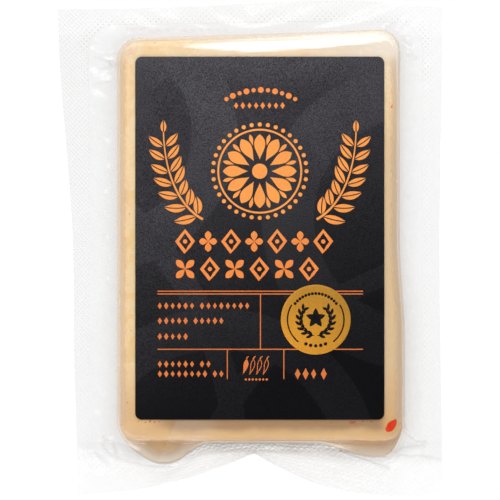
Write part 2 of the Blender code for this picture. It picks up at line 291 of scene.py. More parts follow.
def seal_ring():
    """The inner edge of the sealed band, in the flat film."""
    points = ring(SEAL_LEFT, SEAL_RIGHT, SEAL_FOOT, SEAL_TOP, SEAL_CORNER)
    points[:, 1] += SEAL_BULGE_SHARE * top_bulge(points[:, 0], points[:, 1])
    return points


def shape_edge(points):
    """Moves points of the straight outline onto the real one: bulged at the top, tapered on the left."""
    x, y = points[:, 0], points[:, 1]
    leftward = smooth(x / POUCH_LEFT)
    down = (POUCH_TOP - y) / (POUCH_TOP - POUCH_FOOT)
    taper = LEFT_TAPER * smooth(LEFT_TAPER_RATE * down)
    taper += LEFT_TOE_IN * smooth(down) ** LEFT_TOE_IN_POWER
    return np.stack([x + taper * leftward, y + top_bulge(x, y)], axis=1)


def bent(distance, height, angle, arc):
    """The reach and the rise of points on a strip that turns up by angle along its first arc."""
    angle = np.where(np.abs(angle) < 1e-6, 1e-6, angle)
    turned = angle * np.clip(distance / arc, 0, 1)
    radius = arc / angle
    beyond = np.maximum(distance - arc, 0.0)
    reach = radius * np.sin(turned) + beyond * np.cos(turned) - height * np.sin(turned)
    rise = radius * (1 - np.cos(turned)) + beyond * np.sin(turned) + height * np.cos(turned)
    return reach, rise


def curl_angle(x, width):
    """The angle at which the foot's flange stands, so that its cut edge shows the arch seen from above."""
    away = x - CURL_MIDDLE
    spread = np.where(away > 0, CURL_SPREAD_RIGHT, CURL_SPREAD_LEFT)
    hidden = CURL_HIDDEN * np.exp(-((np.abs(away) / spread) ** CURL_POWER))
    low = np.zeros_like(x)
    high = np.full_like(x, STEEPEST_CURL)
    for _ in range(30):
        middle = (low + high) / 2
        short = width - bent(width, 0.0, middle, CURL_ARC)[0] < hidden
        low = np.where(short, middle, low)
        high = np.where(short, high, middle)
    return (low + high) / 2


def along(value, low, high):
    return np.sin(math.pi * np.clip((value - low) / (high - low), 0, 1))


def turned(value, placed, lift, line, outward, angle, arc):
    """Places and heights of the film, where what lies outward of a line turns up by angle along it."""
    distance = outward * (value - line)
    reach, rise = bent(distance, lift, angle, arc)
    beyond = distance > 0
    return np.where(beyond, line + outward * reach, placed), np.where(beyond, rise, lift)


def lay_flange(flat, height):
    """Takes points of the flat film, at a height over its middle surface, to where they really lie."""
    x, y = flat[:, 0], flat[:, 1]
    side_angle = -SIDE_DROOP * along(y, POUCH_FOOT, POUCH_TOP)
    top_angle = -TOP_DROOP * along(x, POUCH_LEFT, POUCH_RIGHT)
    foot_line = FRONT_FOOT - CURL_START - lobe(x)
    left_line = FRONT_LEFT - CURL_START
    right_line = FRONT_RIGHT + RIGHT_SPLAY + CURL_START
    top_line = FRONT_TOP + CURL_START
    foot_angle = curl_angle(x, foot_line - POUCH_FOOT)
    out_y, out_z = turned(y, y, np.broadcast_to(height, x.shape), foot_line, -1, foot_angle, CURL_ARC)
    out_y, out_z = turned(y, out_y, out_z, top_line, 1, top_angle, DROOP_ARC)
    out_x, out_z = turned(x, x, out_z, left_line, -1, side_angle, DROOP_ARC)
    out_x, out_z = turned(x, out_x, out_z, right_line, 1, side_angle, DROOP_ARC)
    outside = np.maximum.reduce([left_line - x, x - right_line, y - top_line, foot_line - y, 0 * x])
    wave = WAVE_HEIGHT * np.sin(2 * math.pi * (x - y) / WAVE_LENGTH) * smooth(outside / WAVE_ONSET)
    return np.stack([out_x, out_y, FOLD_HEIGHT + out_z + wave], axis=1)


# Fans of folds at the block's corners: middle, side, end, folds in a whole turn, and phase
CORNER_FANS = (
    (FRONT_LEFT + 4, FRONT_TOP - 5, -1, 1, 17, 0.6),
    (FRONT_RIGHT - 4, FRONT_TOP - 3, 1, 1, 21, 2.1),
    (FRONT_LEFT + 5, FRONT_FOOT + 1, -1, -1, 15, 4.0),
    (FRONT_RIGHT - 3, FRONT_FOOT + 1, 1, -1, 18, 5.2),
)
CORNER_FOLD_HEIGHT = 0.38
CORNER_FOLD_SPREAD = 0.35


def corner_folds(flat):
    """Folds that run out from the block's corners through the loose film, fading towards the seal."""
    x, y = flat[:, 0], flat[:, 1]
    relief = np.zeros(len(flat))
    for middle_x, middle_y, side, end, count, phase in CORNER_FANS:
        angle = np.arctan2((y - middle_y) * end, (x - middle_x) * side)
        radius = np.hypot(x - middle_x, y - middle_y)
        from_middle = np.abs(angle - math.pi / 4) - math.pi / 4
        inside = ramp(from_middle, CORNER_FOLD_SPREAD, CORNER_FOLD_SPREAD - 0.5)
        depth = ramp(radius, 5.5, 7.5) * ramp(radius, 14.5, 9.5)
        uneven = 0.55 + 0.45 * np.sin(angle * 5 + phase * 2)
        turn = angle * count + phase + 0.6 * np.sin(radius * 0.9 + phase)
        relief += CORNER_FOLD_HEIGHT * np.sin(turn) * inside * depth * uneven
    return relief


# Sharp creases in the loose film at the block's corners: share of the full depth, then the crease's course
CREASES = (
    (0.22, ((-44.8, 55.2), (-41.5, 54.6), (-37.6, 53.2))),
    (-0.15, ((-44.0, 51.4), (-39.6, 53.0))),
    (0.15, ((-45.2, 47.5), (-40.4, 48.6))),
    (0.30, ((-42.3, -53.7), (-42.6, -56.9), (-40.5, -59.0), (-36.6, -61.6), (-31.5, -62.7), (-23.0, -62.8))),
    (-0.26, ((-42.0, -54.4), (-39.5, -56.0), (-38.4, -58.6))),
    (0.22, ((-44.9, -58.6), (-40.9, -62.9))),
    (0.32, ((41.6, -58.6), (44.0, -56.9), (49.8, -56.4))),
    (0.30, ((42.4, -59.6), (47.6, -59.4), (54.4, -60.4))),
    (-0.28, ((44.4, -52.4), (47.8, -55.2), (50.6, -55.6))),
    (0.34, ((26.0, -58.4), (35.5, -61.8), (39.5, -63.2))),
    (0.26, ((44.2, -50.4), (45.6, -52.8))),
    (0.24, ((38.9, 63.6), (40.6, 65.4))),
    (-0.22, ((44.0, 60.2), (46.6, 58.2))),
    (0.22, ((45.0, 56.4), (47.8, 55.2))),
)
CREASE_WIDTH = 0.45
CREASE_DEPTH = 1.7


def creases(flat):
    relief = np.zeros(len(flat))
    for height, course in CREASES:
        lengths = zip(course, course[1:])
        nearest = np.min([segment_distance(flat, begin, end) for begin, end in lengths], axis=0)
        relief += CREASE_DEPTH * height * bell(nearest / CREASE_WIDTH)
    return relief


def loose_waves(flat):
    """Slanting soft waves in the film along the block's sides, and fine ones in the curled foot."""
    x, y = flat[:, 0], flat[:, 1]
    beside = np.maximum.reduce([FRONT_LEFT - x, x - FRONT_RIGHT - RIGHT_SPLAY, y - FRONT_TOP - 1])
    loose = ramp(beside, 1.0, 3.0) * ramp(beside, 10.5, 7.5)
    slant = np.where(x < 0, 0.5, -0.35)
    turn = 2 * math.pi
    waves = 0.2 * np.sin(turn * (y + slant * x) / 6.6 + 0.9 * np.sin(y / 7.0)) * loose
    curled = bell((x - 4) / 26) * ramp(FRONT_FOOT - lobe(x) - y, 1.5, 4.5)
    to_left = ramp(x, 6, -14)
    waves += 0.13 * np.sin(turn * (x + 0.5 * y + 0.5 * np.sin(x / 2.6)) / 2.1) * curled * to_left
    waves += 0.12 * np.sin(turn * (y + 0.12 * x + 0.5 * np.sin(x / 4.0)) / 1.8) * curled
    return waves


def flange_relief(flat):
    x, y = flat[:, 0], flat[:, 1]
    edge = np.minimum.reduce([x - POUCH_LEFT, POUCH_RIGHT - x, POUCH_TOP + 3 - y, y - POUCH_FOOT])
    band = 0.08 * np.sin(x / 1.9 + 1.3 * np.sin(y / 4.1)) * ramp(edge, 8, 4)
    return corner_folds(flat) + creases(flat) + loose_waves(flat) + band


def past_block(flat):
    """How far each point lies outside the block's outline, and less than 0 inside it."""
    x, y = flat[:, 0], flat[:, 1]
    splay, rise = block_skew(x, y)
    out_x = np.maximum(FRONT_LEFT - BACK_OVERHANG - x, x - FRONT_RIGHT - BACK_OVERHANG - splay)
    foot = FRONT_FOOT - BACK_OVERHANG - lobe(x) - y
    out_y = np.maximum(y - FRONT_TOP - BACK_OVERHANG - rise, foot)
    corner = BLOCK_CORNER + BACK_OVERHANG
    outer = np.hypot(np.maximum(out_x + corner, 0), np.maximum(out_y + corner, 0))
    return outer + np.minimum(np.maximum(out_x, out_y) + corner, 0) - corner


# Where the film spans the start of the fold without touching it, which is also where its highlight is
# painted: the places along it, then its two edges
LIFT_X = (-23.2, -0.1, 17.1, 34.4, 39.6)
LIFT_LOW = (58.3, 56.4, 57.5, 59.0, 59.8)
LIFT_HIGH = (58.3, 60.9, 61.9, 62.1, 60.9)


def fold_lift_and_highlight(flat):
    """1 where the film spans the start of the fold without touching it, and where its highlight is painted.
    """
    x, y = flat[:, 0], flat[:, 1]
    low, high = np.interp(x, LIFT_X, LIFT_LOW), np.interp(x, LIFT_X, LIFT_HIGH)
    inside = smooth((x - LIFT_X[0] + 2) / 9.0) * smooth((LIFT_X[-1] + 1 - x) / 4.0)
    return smooth((y - low + 0.1) / 0.6) * smooth((high - y + 0.3) / 1.3) * inside


# Smears of whey in the loose film: strength, begin, end and width
SMEARS = (
    (0.55, (-41.0, 54.0), (-37.4, 51.6), 0.7),
    (0.30, (-35.5, 63.3), (-30.0, 63.6), 0.5),
    (0.26, (-29.0, 62.6), (-22.5, 63.4), 0.6),
    (0.22, (-20.0, 63.0), (-14.0, 63.2), 0.5),
    (0.18, (-12.0, 63.4), (-7.0, 63.0), 0.5),
    (0.20, (41.0, 62.6), (45.4, 61.0), 0.8),
    (0.16, (44.0, 58.4), (46.5, 57.0), 0.7),
    (0.25, (18.4, -56.6), (16.4, -56.2), 0.35),
)


def whey_smears(flat):
    mottled = 0.6 + 0.4 * np.sin(flat[:, 0] * 2.6 + 1.3 * np.sin(flat[:, 1] * 3.1))
    smear = np.zeros(len(flat))
    for strength, begin, end, width in SMEARS:
        smear += strength * bell(segment_distance(flat, begin, end) / width)
    return smear * mottled


def cheese_haze(flat):
    """How opaque the film is over the block, where it clings, lifts off or wrinkles, with a painted highlight
    along the fold and painted light over the top right corner.
    """
    x, y = flat[:, 0], flat[:, 1]
    # The film lifted off the fold is milky, and this also carries a painted highlight along it.
    haze = bpy.context.scene.halloumi_colours.film_clear + 0.5 * fold_lift_and_highlight(flat)
    haze += (0.5 + 0.3 * lobe_cover(flat)) * block_veil(flat)
    # Painted light: paler, creamier film over the top right corner and along the top of the block, spreading
    # the highlight.
    haze += 0.4 * ramp(x, 10, 40) * ramp(y, 40, 58)
    haze += 0.3 * ramp(x, -32, -7) * ramp(y, 53, 56.5)
    haze += 0.3 * bell(np.hypot(x + 35.5, y - 58.5) / 5)
    haze += 0.25 * bell(np.hypot((x + 34) / 7, (y + 57) / 3.2))
    past_wrinkle = x + 21.5 - 0.45 * (y + 49.1)
    haze += 0.13 * ramp(past_wrinkle, 0, 0.5) * ramp(x, -6, -16) * ramp(y, -48, -49.5)
    from_fleck = np.hypot(x - FLECK_PLACE[0], y - FLECK_PLACE[1])
    return haze * (1 - 0.9 * bell((from_fleck / 2.8) ** 2))


def loose_haze(flat, past):
    """How opaque the film is beyond the block."""
    x, y = flat[:, 0], flat[:, 1]
    haze = bpy.context.scene.halloumi_colours.film_loose * (1 - 0.4 * ramp(past, 0, 7))
    # Clearer towards the top and the right side, as painted light where the film lies in shade there, and
    # clearer low down.
    return haze * (1 - 0.3 * ramp(y, 60, 63) - 0.22 * ramp(x, 40, 46) - 0.55 * ramp(y, -59, -63))


def whey_tint(flat, past):
    """How far the film is tinted along the block's edge, least at the lobes."""
    x, y = flat[:, 0], flat[:, 1]
    tail = 0.8 + 1.4 * ramp(x, 0, 20) * ramp(y, 10, -30) + 0.5 * ramp(x, 0, -20) * ramp(y, 0, -40)
    tint = np.exp(-np.maximum(past, 0) / tail) * ramp(past, -1.6, 0)
    return tint * (1 - 0.75 * lobe_cover(flat))


def curl_shade(flat):
    """How dark the film is low in the curl at the foot."""
    x, y = flat[:, 0], flat[:, 1]
    below = FRONT_FOOT - lobe(x) * lobe_share(y) - y
    shade = 0.27 * np.exp(-np.maximum(below - 0.8, 0) / 3.5)
    shade += 0.6 * np.exp(-np.maximum(below - 0.6, 0) / 0.9)
    shade *= ramp(below, 0, 0.6) * bell((x - 2) / 36)
    return shade * (1 - 0.85 * np.minimum(lobe(x) / RIGHT_LOBE_DEPTH, 1))


def film_look(flat):
    """For each point of the film: its opacity, its tint of whey, and its shade in the curl at the foot."""
    past = past_block(flat)
    smear = whey_smears(flat)
    tint = whey_tint(flat, past) + smear
    shade = curl_shade(flat)
    opacity = between(cheese_haze(flat), loose_haze(flat, past), ramp(past, -0.3, 0.5))
    opacity += 0.08 * tint * ramp(past, 0, 0.5) + 0.2 * shade + 0.25 * smear + 0.2 * np.abs(creases(flat))
    return np.stack([opacity, tint, shade], axis=1)


def lobe_cover(flat):
    return np.minimum(lobe(flat[:, 0]) / RIGHT_LOBE_DEPTH, 1) * lobe_share(flat[:, 1])


def block_veil(flat):
    """How far the film is a pale veil, where it leaves the cheese at the block's edge."""
    past = past_block(flat)
    return between(ramp(past, -1.1, 0.3), ramp(past, -4.7, 0.2), lobe_cover(flat))


def film_veil(flat):
    """For each point of the film: its height up the streaks of the curled foot, whether it lies over the
    block, and its distance past the block's rim."""
    x, y = flat[:, 0], flat[:, 1]
    past = past_block(flat)
    streak = y + np.where(x < 4, -0.24, 0.13) * (x - 4) + 0.4 * np.sin(x / 5.0)
    return np.stack([streak, ramp(past, 0.7, -0.2), np.clip(past, -9, 9)], axis=1)


# Middle of the largest bit of chilli, on which the film lies close
FLECK_PLACE = (40.4, -50.5)


def between(inner, outer, share):
    return inner + (outer - inner) * share


def scaled_rings(outline, count, smallest=0.04):
    """Rings from the middle of an outline out to just inside it."""
    middle = (outline.min(axis=0) + outline.max(axis=0)) / 2
    return [middle + (outline - middle) * share for share in np.linspace(smallest, 1, count + 1)[:-1]]


def with_height(points, height):
    return np.column_stack([points, np.broadcast_to(height, len(points))])


def front_sections(inset, height, steps):
    """The front face and its rounded edge, drawn in by inset, from the middle out."""
    sections = []
    for step in range(steps + 1):
        angle = step / steps * math.pi / 2
        out = math.sin(angle)
        outline = front_ring(
            inset + FRONT_ROUNDING * (1 - out), inset + FOLD_REACH * (1 - out), inset + FOOT_REACH * (1 - out)
        )
        if step == 0:
            for points in scaled_rings(outline, 8):
                sections.append(with_height(points, front_height(points, height)))
        x, y = outline.T
        drop = np.full(len(x), FRONT_ROUNDING * (1 - math.cos(angle)))
        at_fold = facet_drop(FOLD_REACH * out, fold_facet_start(x), FOLD_REACH, FOLD_CREST_DEPTH)
        at_foot = facet_drop(FOOT_REACH * out, FOOT_FACET_START, FOOT_REACH, FOOT_CREST_DEPTH)
        drop += (at_fold - drop) * end_share(y - FRONT_TOP, FOLD_REACH)
        drop += (at_foot - drop) * end_share(FRONT_FOOT - y, FOOT_REACH)
        sections.append(with_height(outline, front_height(outline, height) - drop))
    return sections


def back_sections(inset, height, steps):
    """The back's rounded edge and its flat face, from the outside in."""
    sections = []
    for step in reversed(range(steps + 1)):
        angle = step / steps * math.pi / 2
        out = math.sin(angle)
        outline = back_ring(inset + BACK_ROUNDING * (1 - out), inset + BACK_FOLD_REACH * (1 - out))
        depth = BACK_ROUNDING
        depth += (BACK_FOLD_DEPTH - BACK_ROUNDING) * end_share(outline[:, 1] - FRONT_TOP, BACK_FOLD_REACH)
        sections.append(with_height(outline, height + depth * (1 - math.cos(angle))))
    flat = sections[-1][:, :2]
    sections += [with_height(points, height) for points in reversed(scaled_rings(flat, 4))]
    return sections


def place(points):
    """Takes millimetres in the photograph's frame to metres in the model's."""
    return (points + np.array((*MOVED, 0.0))) * MM


def place_x(*values):
    """The same for lengths across the photograph only, as the range of a fade."""
    return [(value + MOVED[0]) * MM for value in values]


def place_y(*values):
    """The same for lengths up the photograph only."""
    return [(value + MOVED[1]) * MM for value in values]


def ring_mesh(name, sections, attributes=None):
    """One closed body through closed sections that all have as many points."""
    rows, count = len(sections), len(sections[0])
    vertices = place(np.concatenate(sections))
    index = np.arange(rows * count).reshape(rows, count)
    follow = np.roll(index, -1, axis=1)
    quads = np.stack([index[:-1], index[1:], follow[1:], follow[:-1]], axis=-1).reshape(-1, 4)
    faces = [list(quad) for quad in quads.tolist()]
    faces.append(index[0].tolist())
    faces.append(index[-1][::-1].tolist())
    mesh = bpy.data.meshes.new(name)
    mesh.from_pydata(vertices.tolist(), [], faces)
    for label, values in (attributes or {}).items():
        layer = mesh.attributes.new(label, "FLOAT_VECTOR", "POINT")
        layer.data.foreach_set("vector", np.concatenate(values).ravel())
    mesh.shade_smooth()
    mesh.set_sharp_from_angle(angle=math.radians(60))
    mesh.update()
    return mesh


def add_piece(name, mesh, material, slot, *nodes):
    """Links a piece, rides it on the pack and hides the solids it stands for."""
    piece = bpy.data.objects.new(name, mesh)
    bpy.context.scene.collection.objects.link(piece)
    mesh.materials.clear()
    mesh.materials.append(material)
    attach(piece, "root")
    if nodes:
        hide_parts(*nodes)
    return piece


def block_height():
    return bpy.context.scene.halloumi_sizes.block_height / MM


def film_sections(thickness):
    """The pouch's skin. Each point also has its place in the flat film, with its distance past the seal's
    inner edge, and how the film looks there."""
    half = thickness / 2
    sections, places, looks, veils = [], [], [], []

    def add(points, flat, past_seal=-9.0):
        sections.append(points)
        places.append(with_height(flat, past_seal))
        looks.append(film_look(flat))
        veils.append(film_veil(flat))

    for points in front_sections(0.0, block_height(), 16):
        add(points, points[:, :2])
    wall = front_ring(0.0)
    add(with_height(wall, FOLD_HEIGHT + 1.9), wall)
    add(with_height(front_ring(-0.1), FOLD_HEIGHT + 1.2), wall)
    lip = front_ring(-0.3)
    seam = back_ring(-(CURL_START - BACK_OVERHANG))
    add(with_height(lip, FOLD_HEIGHT + 0.8), lip)
    for share in np.linspace(0, 1, 7)[1:-1]:
        shelf = between(lip, seam, share)
        add(with_height(shelf, between(FOLD_HEIGHT + 0.8, FOLD_HEIGHT + half, smooth(share))), shelf)

    seal = seal_ring()
    edge = shape_edge(ring(POUCH_LEFT, POUCH_RIGHT, POUCH_FOOT, POUCH_TOP, SEAL_CORNER, roundness=0.0))
    flats = [(between(seam, seal, share), seal, -1) for share in np.linspace(0, 1, 22)]
    flats += [(between(seal, edge, share), seal, 1) for share in np.linspace(0, 1, 17)[1:]]
    for side in (half, -half):
        for flat, line, sign in flats if side > 0 else reversed(flats):
            past_seal = sign * np.hypot(*(flat - line).T)
            add(lay_flange(flat, flange_relief(flat) + side), flat, past_seal)
    for outset, drop in ((0.1, 0.9), (0.0, 2.0)):
        outline = back_ring(-outset)
        add(with_height(outline, FOLD_HEIGHT - drop), outline)
    for points in back_sections(0.0, 0.0, 8):
        add(points, points[:, :2])
    return sections, {"flat_film": places, "film_look": looks, "film_veil": veils}


def cheese_sections():
    """One slab folded in two. A crease runs between its layers, and closes where they meet in the fold."""
    gap = 0.2
    sections = front_sections(gap, block_height() - gap, 14)
    plain = front_ring(gap)
    closing = end_share(plain[:, 1] - FRONT_TOP, FOLD_REACH)[:, None]
    for inset, rise in ((0.0, 1.9), (0.35, 1.1), (1.1, 0.6), (2.0, 0.25)):
        sections.append(with_height(between(front_ring(gap + inset), plain, closing), FOLD_HEIGHT + rise))
    inner = sections[-1][:, :2]
    outer = back_ring(gap + 0.9)
    for share in (0.25, 0.5, 0.75):
        sections.append(with_height(between(inner, outer, share), FOLD_HEIGHT - 0.05 * share))
    for inset, drop in ((0.9, 0.1), (0.35, 0.5), (0.0, 1.2)):
        narrowed = between(back_ring(gap + inset), back_ring(gap), closing)
        sections.append(with_height(narrowed, FOLD_HEIGHT - drop))
    sections += back_sections(gap, gap, 10)
    return sections


class Nodes:
    """Adds nodes to one node tree and joins them up."""

    def __init__(self, tree):
        self.tree = tree

    def add(self, kind, inputs=None, **settings):
        node = self.tree.nodes.new(kind)
        for name, value in settings.items():
            setattr(node, name, value)
        for name, value in (inputs or {}).items():
            self.set(node.inputs[name], value)
        return node

    def set(self, socket, value):
        if isinstance(value, bpy.types.NodeSocket):
            self.tree.links.new(value, socket)
        elif socket.type == "RGBA" and len(value) == 3:
            socket.default_value = (*value, 1.0)
        else:
            socket.default_value = value

    def set_in_group(self, name, value):
        """Sets an input of the tree's only group node."""
        group = next(node for node in self.tree.nodes if node.type == "GROUP")
        self.set(group.inputs[name], value)

    def math(self, operation, first, second=0.0, third=0.0, clamp=False):
        node = self.add("ShaderNodeMath", operation=operation, use_clamp=clamp)
        for socket, value in zip(node.inputs, (first, second, third)):
            self.set(socket, value)
        return node.outputs[0]

    def times(self, first, *others):
        for other in others:
            first = self.math("MULTIPLY", first, other)
        return first

    def wave(self, value, pitch, kind="COSINE"):
        """A wave along value that comes round once in each pitch."""
        return self.math(kind, self.times(value, 2 * math.pi / pitch))

    def fade(self, value, low, high, to_low=0.0, to_high=1.0):
        """Value, taken smoothly from the range low to high onto to_low to to_high."""
        node = self.add("ShaderNodeMapRange", interpolation_type="SMOOTHSTEP")
        names = ("Value", "From Min", "From Max", "To Min", "To Max")
        for name, given in zip(names, (value, low, high, to_low, to_high)):
            self.set(node.inputs[name], given)
        return node.outputs[0]

    def mix(self, share, first, second, blend="MIX"):
        node = self.add("ShaderNodeMix", data_type="RGBA", blend_type=blend)
        self.set(node.inputs[0], share)
        self.set(node.inputs[6], first)
        self.set(node.inputs[7], second)
        return node.outputs[2]

    def layers(self, colour, uppers):
        """Lays further colours over the first, each by its own mask."""
        for share, upper in uppers:
            colour = self.mix(share, colour, upper)
        return colour

    def noise(self, vector, scale, detail=2.0, roughness=0.5, distortion=0.0):
        node = self.add(
            "ShaderNodeTexNoise",
            {"Scale": scale, "Detail": detail, "Roughness": roughness, "Distortion": distortion},
        )
        self.set(node.inputs["Vector"], vector)
        return node.outputs["Fac"]

    def place(self):
        return self.add("ShaderNodeTexCoord").outputs["Object"]

    def split(self, vector):
        parts = self.add("ShaderNodeSeparateXYZ", {"Vector": vector})
        return [parts.outputs[name] for name in "XYZ"]

    def attribute(self, name):
        return self.add("ShaderNodeAttribute", attribute_name=name).outputs["Vector"]

    def bump(self, height, strength, distance):
        node = self.add("ShaderNodeBump", {"Height": height, "Strength": strength, "Distance": distance})
        return node.outputs["Normal"]


def new_material(name):
    material = bpy.data.materials.new(name)
    material.use_nodes = True
    shader = material.node_tree.nodes["Principled BSDF"]
    return material, Nodes(material.node_tree), shader


def make_group(name, inputs, outputs):
    """A shader node group with float inputs and outputs, except those whose name says colour."""
    group = bpy.data.node_groups.new(name, "ShaderNodeTree")
    for direction, sockets in (("INPUT", inputs), ("OUTPUT", outputs)):
        for socket, default in sockets.items():
            kind = "NodeSocketColor" if "Colour" in socket else "NodeSocketFloat"
            made = group.interface.new_socket(socket, in_out=direction, socket_type=kind)
            if direction == "INPUT":
                made.default_value = (*default, 1.0) if "Colour" in socket else default
    nodes = Nodes(group)
    begin = nodes.add("NodeGroupInput")
    end = nodes.add("NodeGroupOutput")
    return group, nodes, begin.outputs, end


def printed_stock_group():
    """Fine paper grain and soft unevenness, for the label, its print and the sticker."""
    group, nodes, given, end = make_group(
        "Printed stock",
        {"Colour": (1, 1, 1), "Grain": 0.1, "Blotch": 0.1, "Grain Size": 3500.0},
        {"Colour": None, "Height": None},
    )
    place_in = nodes.place()
    grain = nodes.noise(place_in, given["Grain Size"], 1.0)
    blotch = nodes.noise(place_in, 90.0, 3.0)
    wide = nodes.math("MULTIPLY_ADD", nodes.math("SUBTRACT", grain, 0.5), given["Grain"], 1.0)
    soft = nodes.math("MULTIPLY_ADD", nodes.math("SUBTRACT", blotch, 0.5), given["Blotch"], wide)
    brightness = nodes.add("ShaderNodeCombineColor", {"Red": soft, "Green": soft, "Blue": soft})
    nodes.set(end.inputs["Colour"], nodes.mix(1.0, given["Colour"], brightness.outputs[0], "MULTIPLY"))
    nodes.set(end.inputs["Height"], grain)
    return group


def use_group(nodes, group, inputs):
    node = nodes.add("ShaderNodeGroup", node_tree=group)
    for name, value in inputs.items():
        nodes.set(node.inputs[name], value)
    return node.outputs


def label_edge_shadow(nodes, place_in, at_x, at_y):
    """Painted shadow of the label's lower edge, on the front just below it."""
    wavering = nodes.math("MULTIPLY_ADD", nodes.noise(place_in, 130.0, 2.0), 0.003, at_y)
    up = nodes.split(nodes.add("ShaderNodeNewGeometry").outputs["Normal"])[2]
    return nodes.times(
        nodes.fade(wavering, *place_y(-51.6, -49.0)),
        nodes.fade(up, 0.4, 0.8),
        nodes.fade(at_y, *place_y(-47.0, -48.5)),
        nodes.fade(at_x, *place_x(-31.0, -21.0)),
        nodes.fade(at_x, *place_x(40.0, 36.0)),
    )


def cheese_material(colours):
    """Pale cheese with yellower patches, with painted shade along its right side and at its foot, and a
    painted shadow just below the label's lower edge.
    """
    material, nodes, shader = new_material("Moist halloumi")
    place_in = nodes.place()
    at_x, at_y, _ = nodes.split(place_in)
    patches = nodes.noise(place_in, 150.0, 4.0, 0.55, 0.6)
    small = nodes.fade(nodes.noise(place_in, 520.0, 3.0, 0.6, 0.3), 0.50, 0.62)
    low = nodes.fade(at_y, *place_y(52.0, 5.0))
    patched = nodes.times(nodes.fade(patches, 0.48, 0.58), nodes.math("MULTIPLY_ADD", low, 0.45, 0.5))
    # Painted shade along the block's right side, which the key light reaches less.
    right = nodes.times(nodes.fade(at_x, *place_x(34.0, 38.0)), nodes.fade(at_y, *place_y(52.0, 22.0)))
    # Painted shade at the foot, which faces away from the light; where the back layer's lobes lie, the cheese
    # goes back to pale, out of that painted shade.
    foot = nodes.fade(at_y, *place_y(-30.0, -50.0))
    lobes = nodes.fade(at_y, *place_y(-55.0, -58.0))
    # Painted shadow of the label's lower edge on the cheese below it.
    label_shadow = label_edge_shadow(nodes, place_in, at_x, at_y)
    uppers = (
        (patched, colours.cheese_ochre),
        (nodes.times(small, 0.5), colours.cheese_ochre),
        (nodes.times(low, 0.35), colours.cheese_ochre),
        (nodes.times(right, 0.85), colours.cheese_right_painted_shade),
        (nodes.times(foot, 0.85), colours.cheese_foot_painted_shade),
        (nodes.times(label_shadow, 0.95), colours.cheese_label_shadow),
        (nodes.times(lobes, 0.7), colours.cheese_pale),
    )
    nodes.set(shader.inputs["Base Color"], nodes.layers(colours.cheese_pale, uppers))
    nodes.set(shader.inputs["Roughness"], nodes.fade(patches, 0.3, 0.7, 0.36, 0.5))
    shader.inputs["Subsurface Weight"].default_value = 0.2
    shader.inputs["Subsurface Radius"].default_value = (1.0, 0.62, 0.3)
    shader.inputs["Subsurface Scale"].default_value = 0.0015
    rough = nodes.noise(place_in, 900.0, 5.0, 0.65)
    nodes.set(shader.inputs["Normal"], nodes.bump(rough, 0.5, 0.0002))
    return material


# Pitches of the film's small marks, in millimetres
DOT_PITCH = 1.6
HATCH_PITCH = 1.22
CROSS_HATCH_PITCH = 1.5
CRINKLE_LENGTH = 1.9
CRINKLE_WIDTH = 1.2


def seal_marks(nodes, film, seal):
    """The seal's embossing, small dots with hatching on the left, and then the same with its inner line."""
    x, y, past_seal = nodes.split(film)
    dots = nodes.fade(nodes.times(nodes.wave(x, DOT_PITCH), nodes.wave(y, DOT_PITCH)), 0.3, 0.75)
    uneven = nodes.fade(nodes.noise(film, 0.22, 2.0), 0.3, 0.62, 0.25, 1.0)
    at_top = nodes.fade(y, 40.0, 64.0, 0.35, 1.0)
    by_line = nodes.fade(past_seal, 4.5, 0.6, 0.25, 1.0)
    dots = nodes.times(dots, seal, uneven, at_top, by_line)
    across = nodes.wave(nodes.math("SUBTRACT", x, y), CROSS_HATCH_PITCH, "SINE")
    hatch = nodes.wave(nodes.math("ADD", x, y), HATCH_PITCH, "SINE")
    hatch = nodes.fade(nodes.math("MULTIPLY_ADD", across, 0.4, hatch), 0.1, 1.1)
    at_left = nodes.times(nodes.fade(x, -45.0, -48.0), seal, nodes.fade(y, -50.0, -15.0, 0.2, 1.0))
    hatch = nodes.times(hatch, at_left, nodes.math("MULTIPLY_ADD", uneven, 0.3, 0.7))
    relief = nodes.math("MAXIMUM", dots, nodes.times(hatch, 0.42))
    inner_line = nodes.times(
        nodes.fade(past_seal, -0.3, 0.0),
        nodes.fade(past_seal, 0.45, 0.05),
        nodes.fade(y, 30.0, 60.0, 0.08, 0.32),
    )
    return relief, nodes.math("MAXIMUM", relief, inner_line)


def rim_painted_shade(nodes, film, past_rim):
    """A ragged line of painted shade along the block's rim, which fades out towards the fold and the foot."""
    _, y, _ = nodes.split(film)
    outward = nodes.math("SUBTRACT", past_rim, 0.6)
    ragged = nodes.math("MULTIPLY_ADD", nodes.noise(film, 0.3, 3.0, 0.6), 1.2, outward)
    return nodes.times(
        nodes.fade(ragged, -2.7, -1.7),
        nodes.fade(past_rim, 0.6, -1.0),
        nodes.fade(y, 60.0, 50.0),
        nodes.fade(y, -54.0, -46.0),
    )


def curl_crinkle_shade(nodes, film, streak, shade, over_block):
    """Painted shade and light of the streaks and small crinkles in the film that curls up below the block,
    lighter and darker by turns.
    """
    x, y, _ = nodes.split(film)
    run = nodes.add("ShaderNodeCombineXYZ", {"X": nodes.times(x, 0.1), "Y": nodes.times(streak, 1.7)})
    streaks = nodes.math("SUBTRACT", nodes.noise(run.outputs[0], 1.0, 4.0, 0.6), 0.5)
    slant = nodes.math("MULTIPLY_ADD", streak, 0.45, x)
    wander = nodes.times(nodes.noise(film, 0.5, 2.0), 9.0)
    rows = nodes.math("COSINE", nodes.math("MULTIPLY_ADD", streak, 2 * math.pi / CRINKLE_WIDTH, wander))
    crinkles = nodes.times(nodes.wave(slant, CRINKLE_LENGTH), rows)
    streaks = nodes.math("MULTIPLY_ADD", crinkles, 0.12, streaks)
    return nodes.times(
        streaks,
        nodes.fade(nodes.math("SUBTRACT", y, over_block), -54.0, -57.5),
        nodes.fade(shade, 0.0, 0.35, 0.25, 1.0),
        nodes.fade(over_block, 1.0, 0.5),
        nodes.fade(x, -34.0, -22.0),
        nodes.fade(x, 46.0, 34.0),
    )


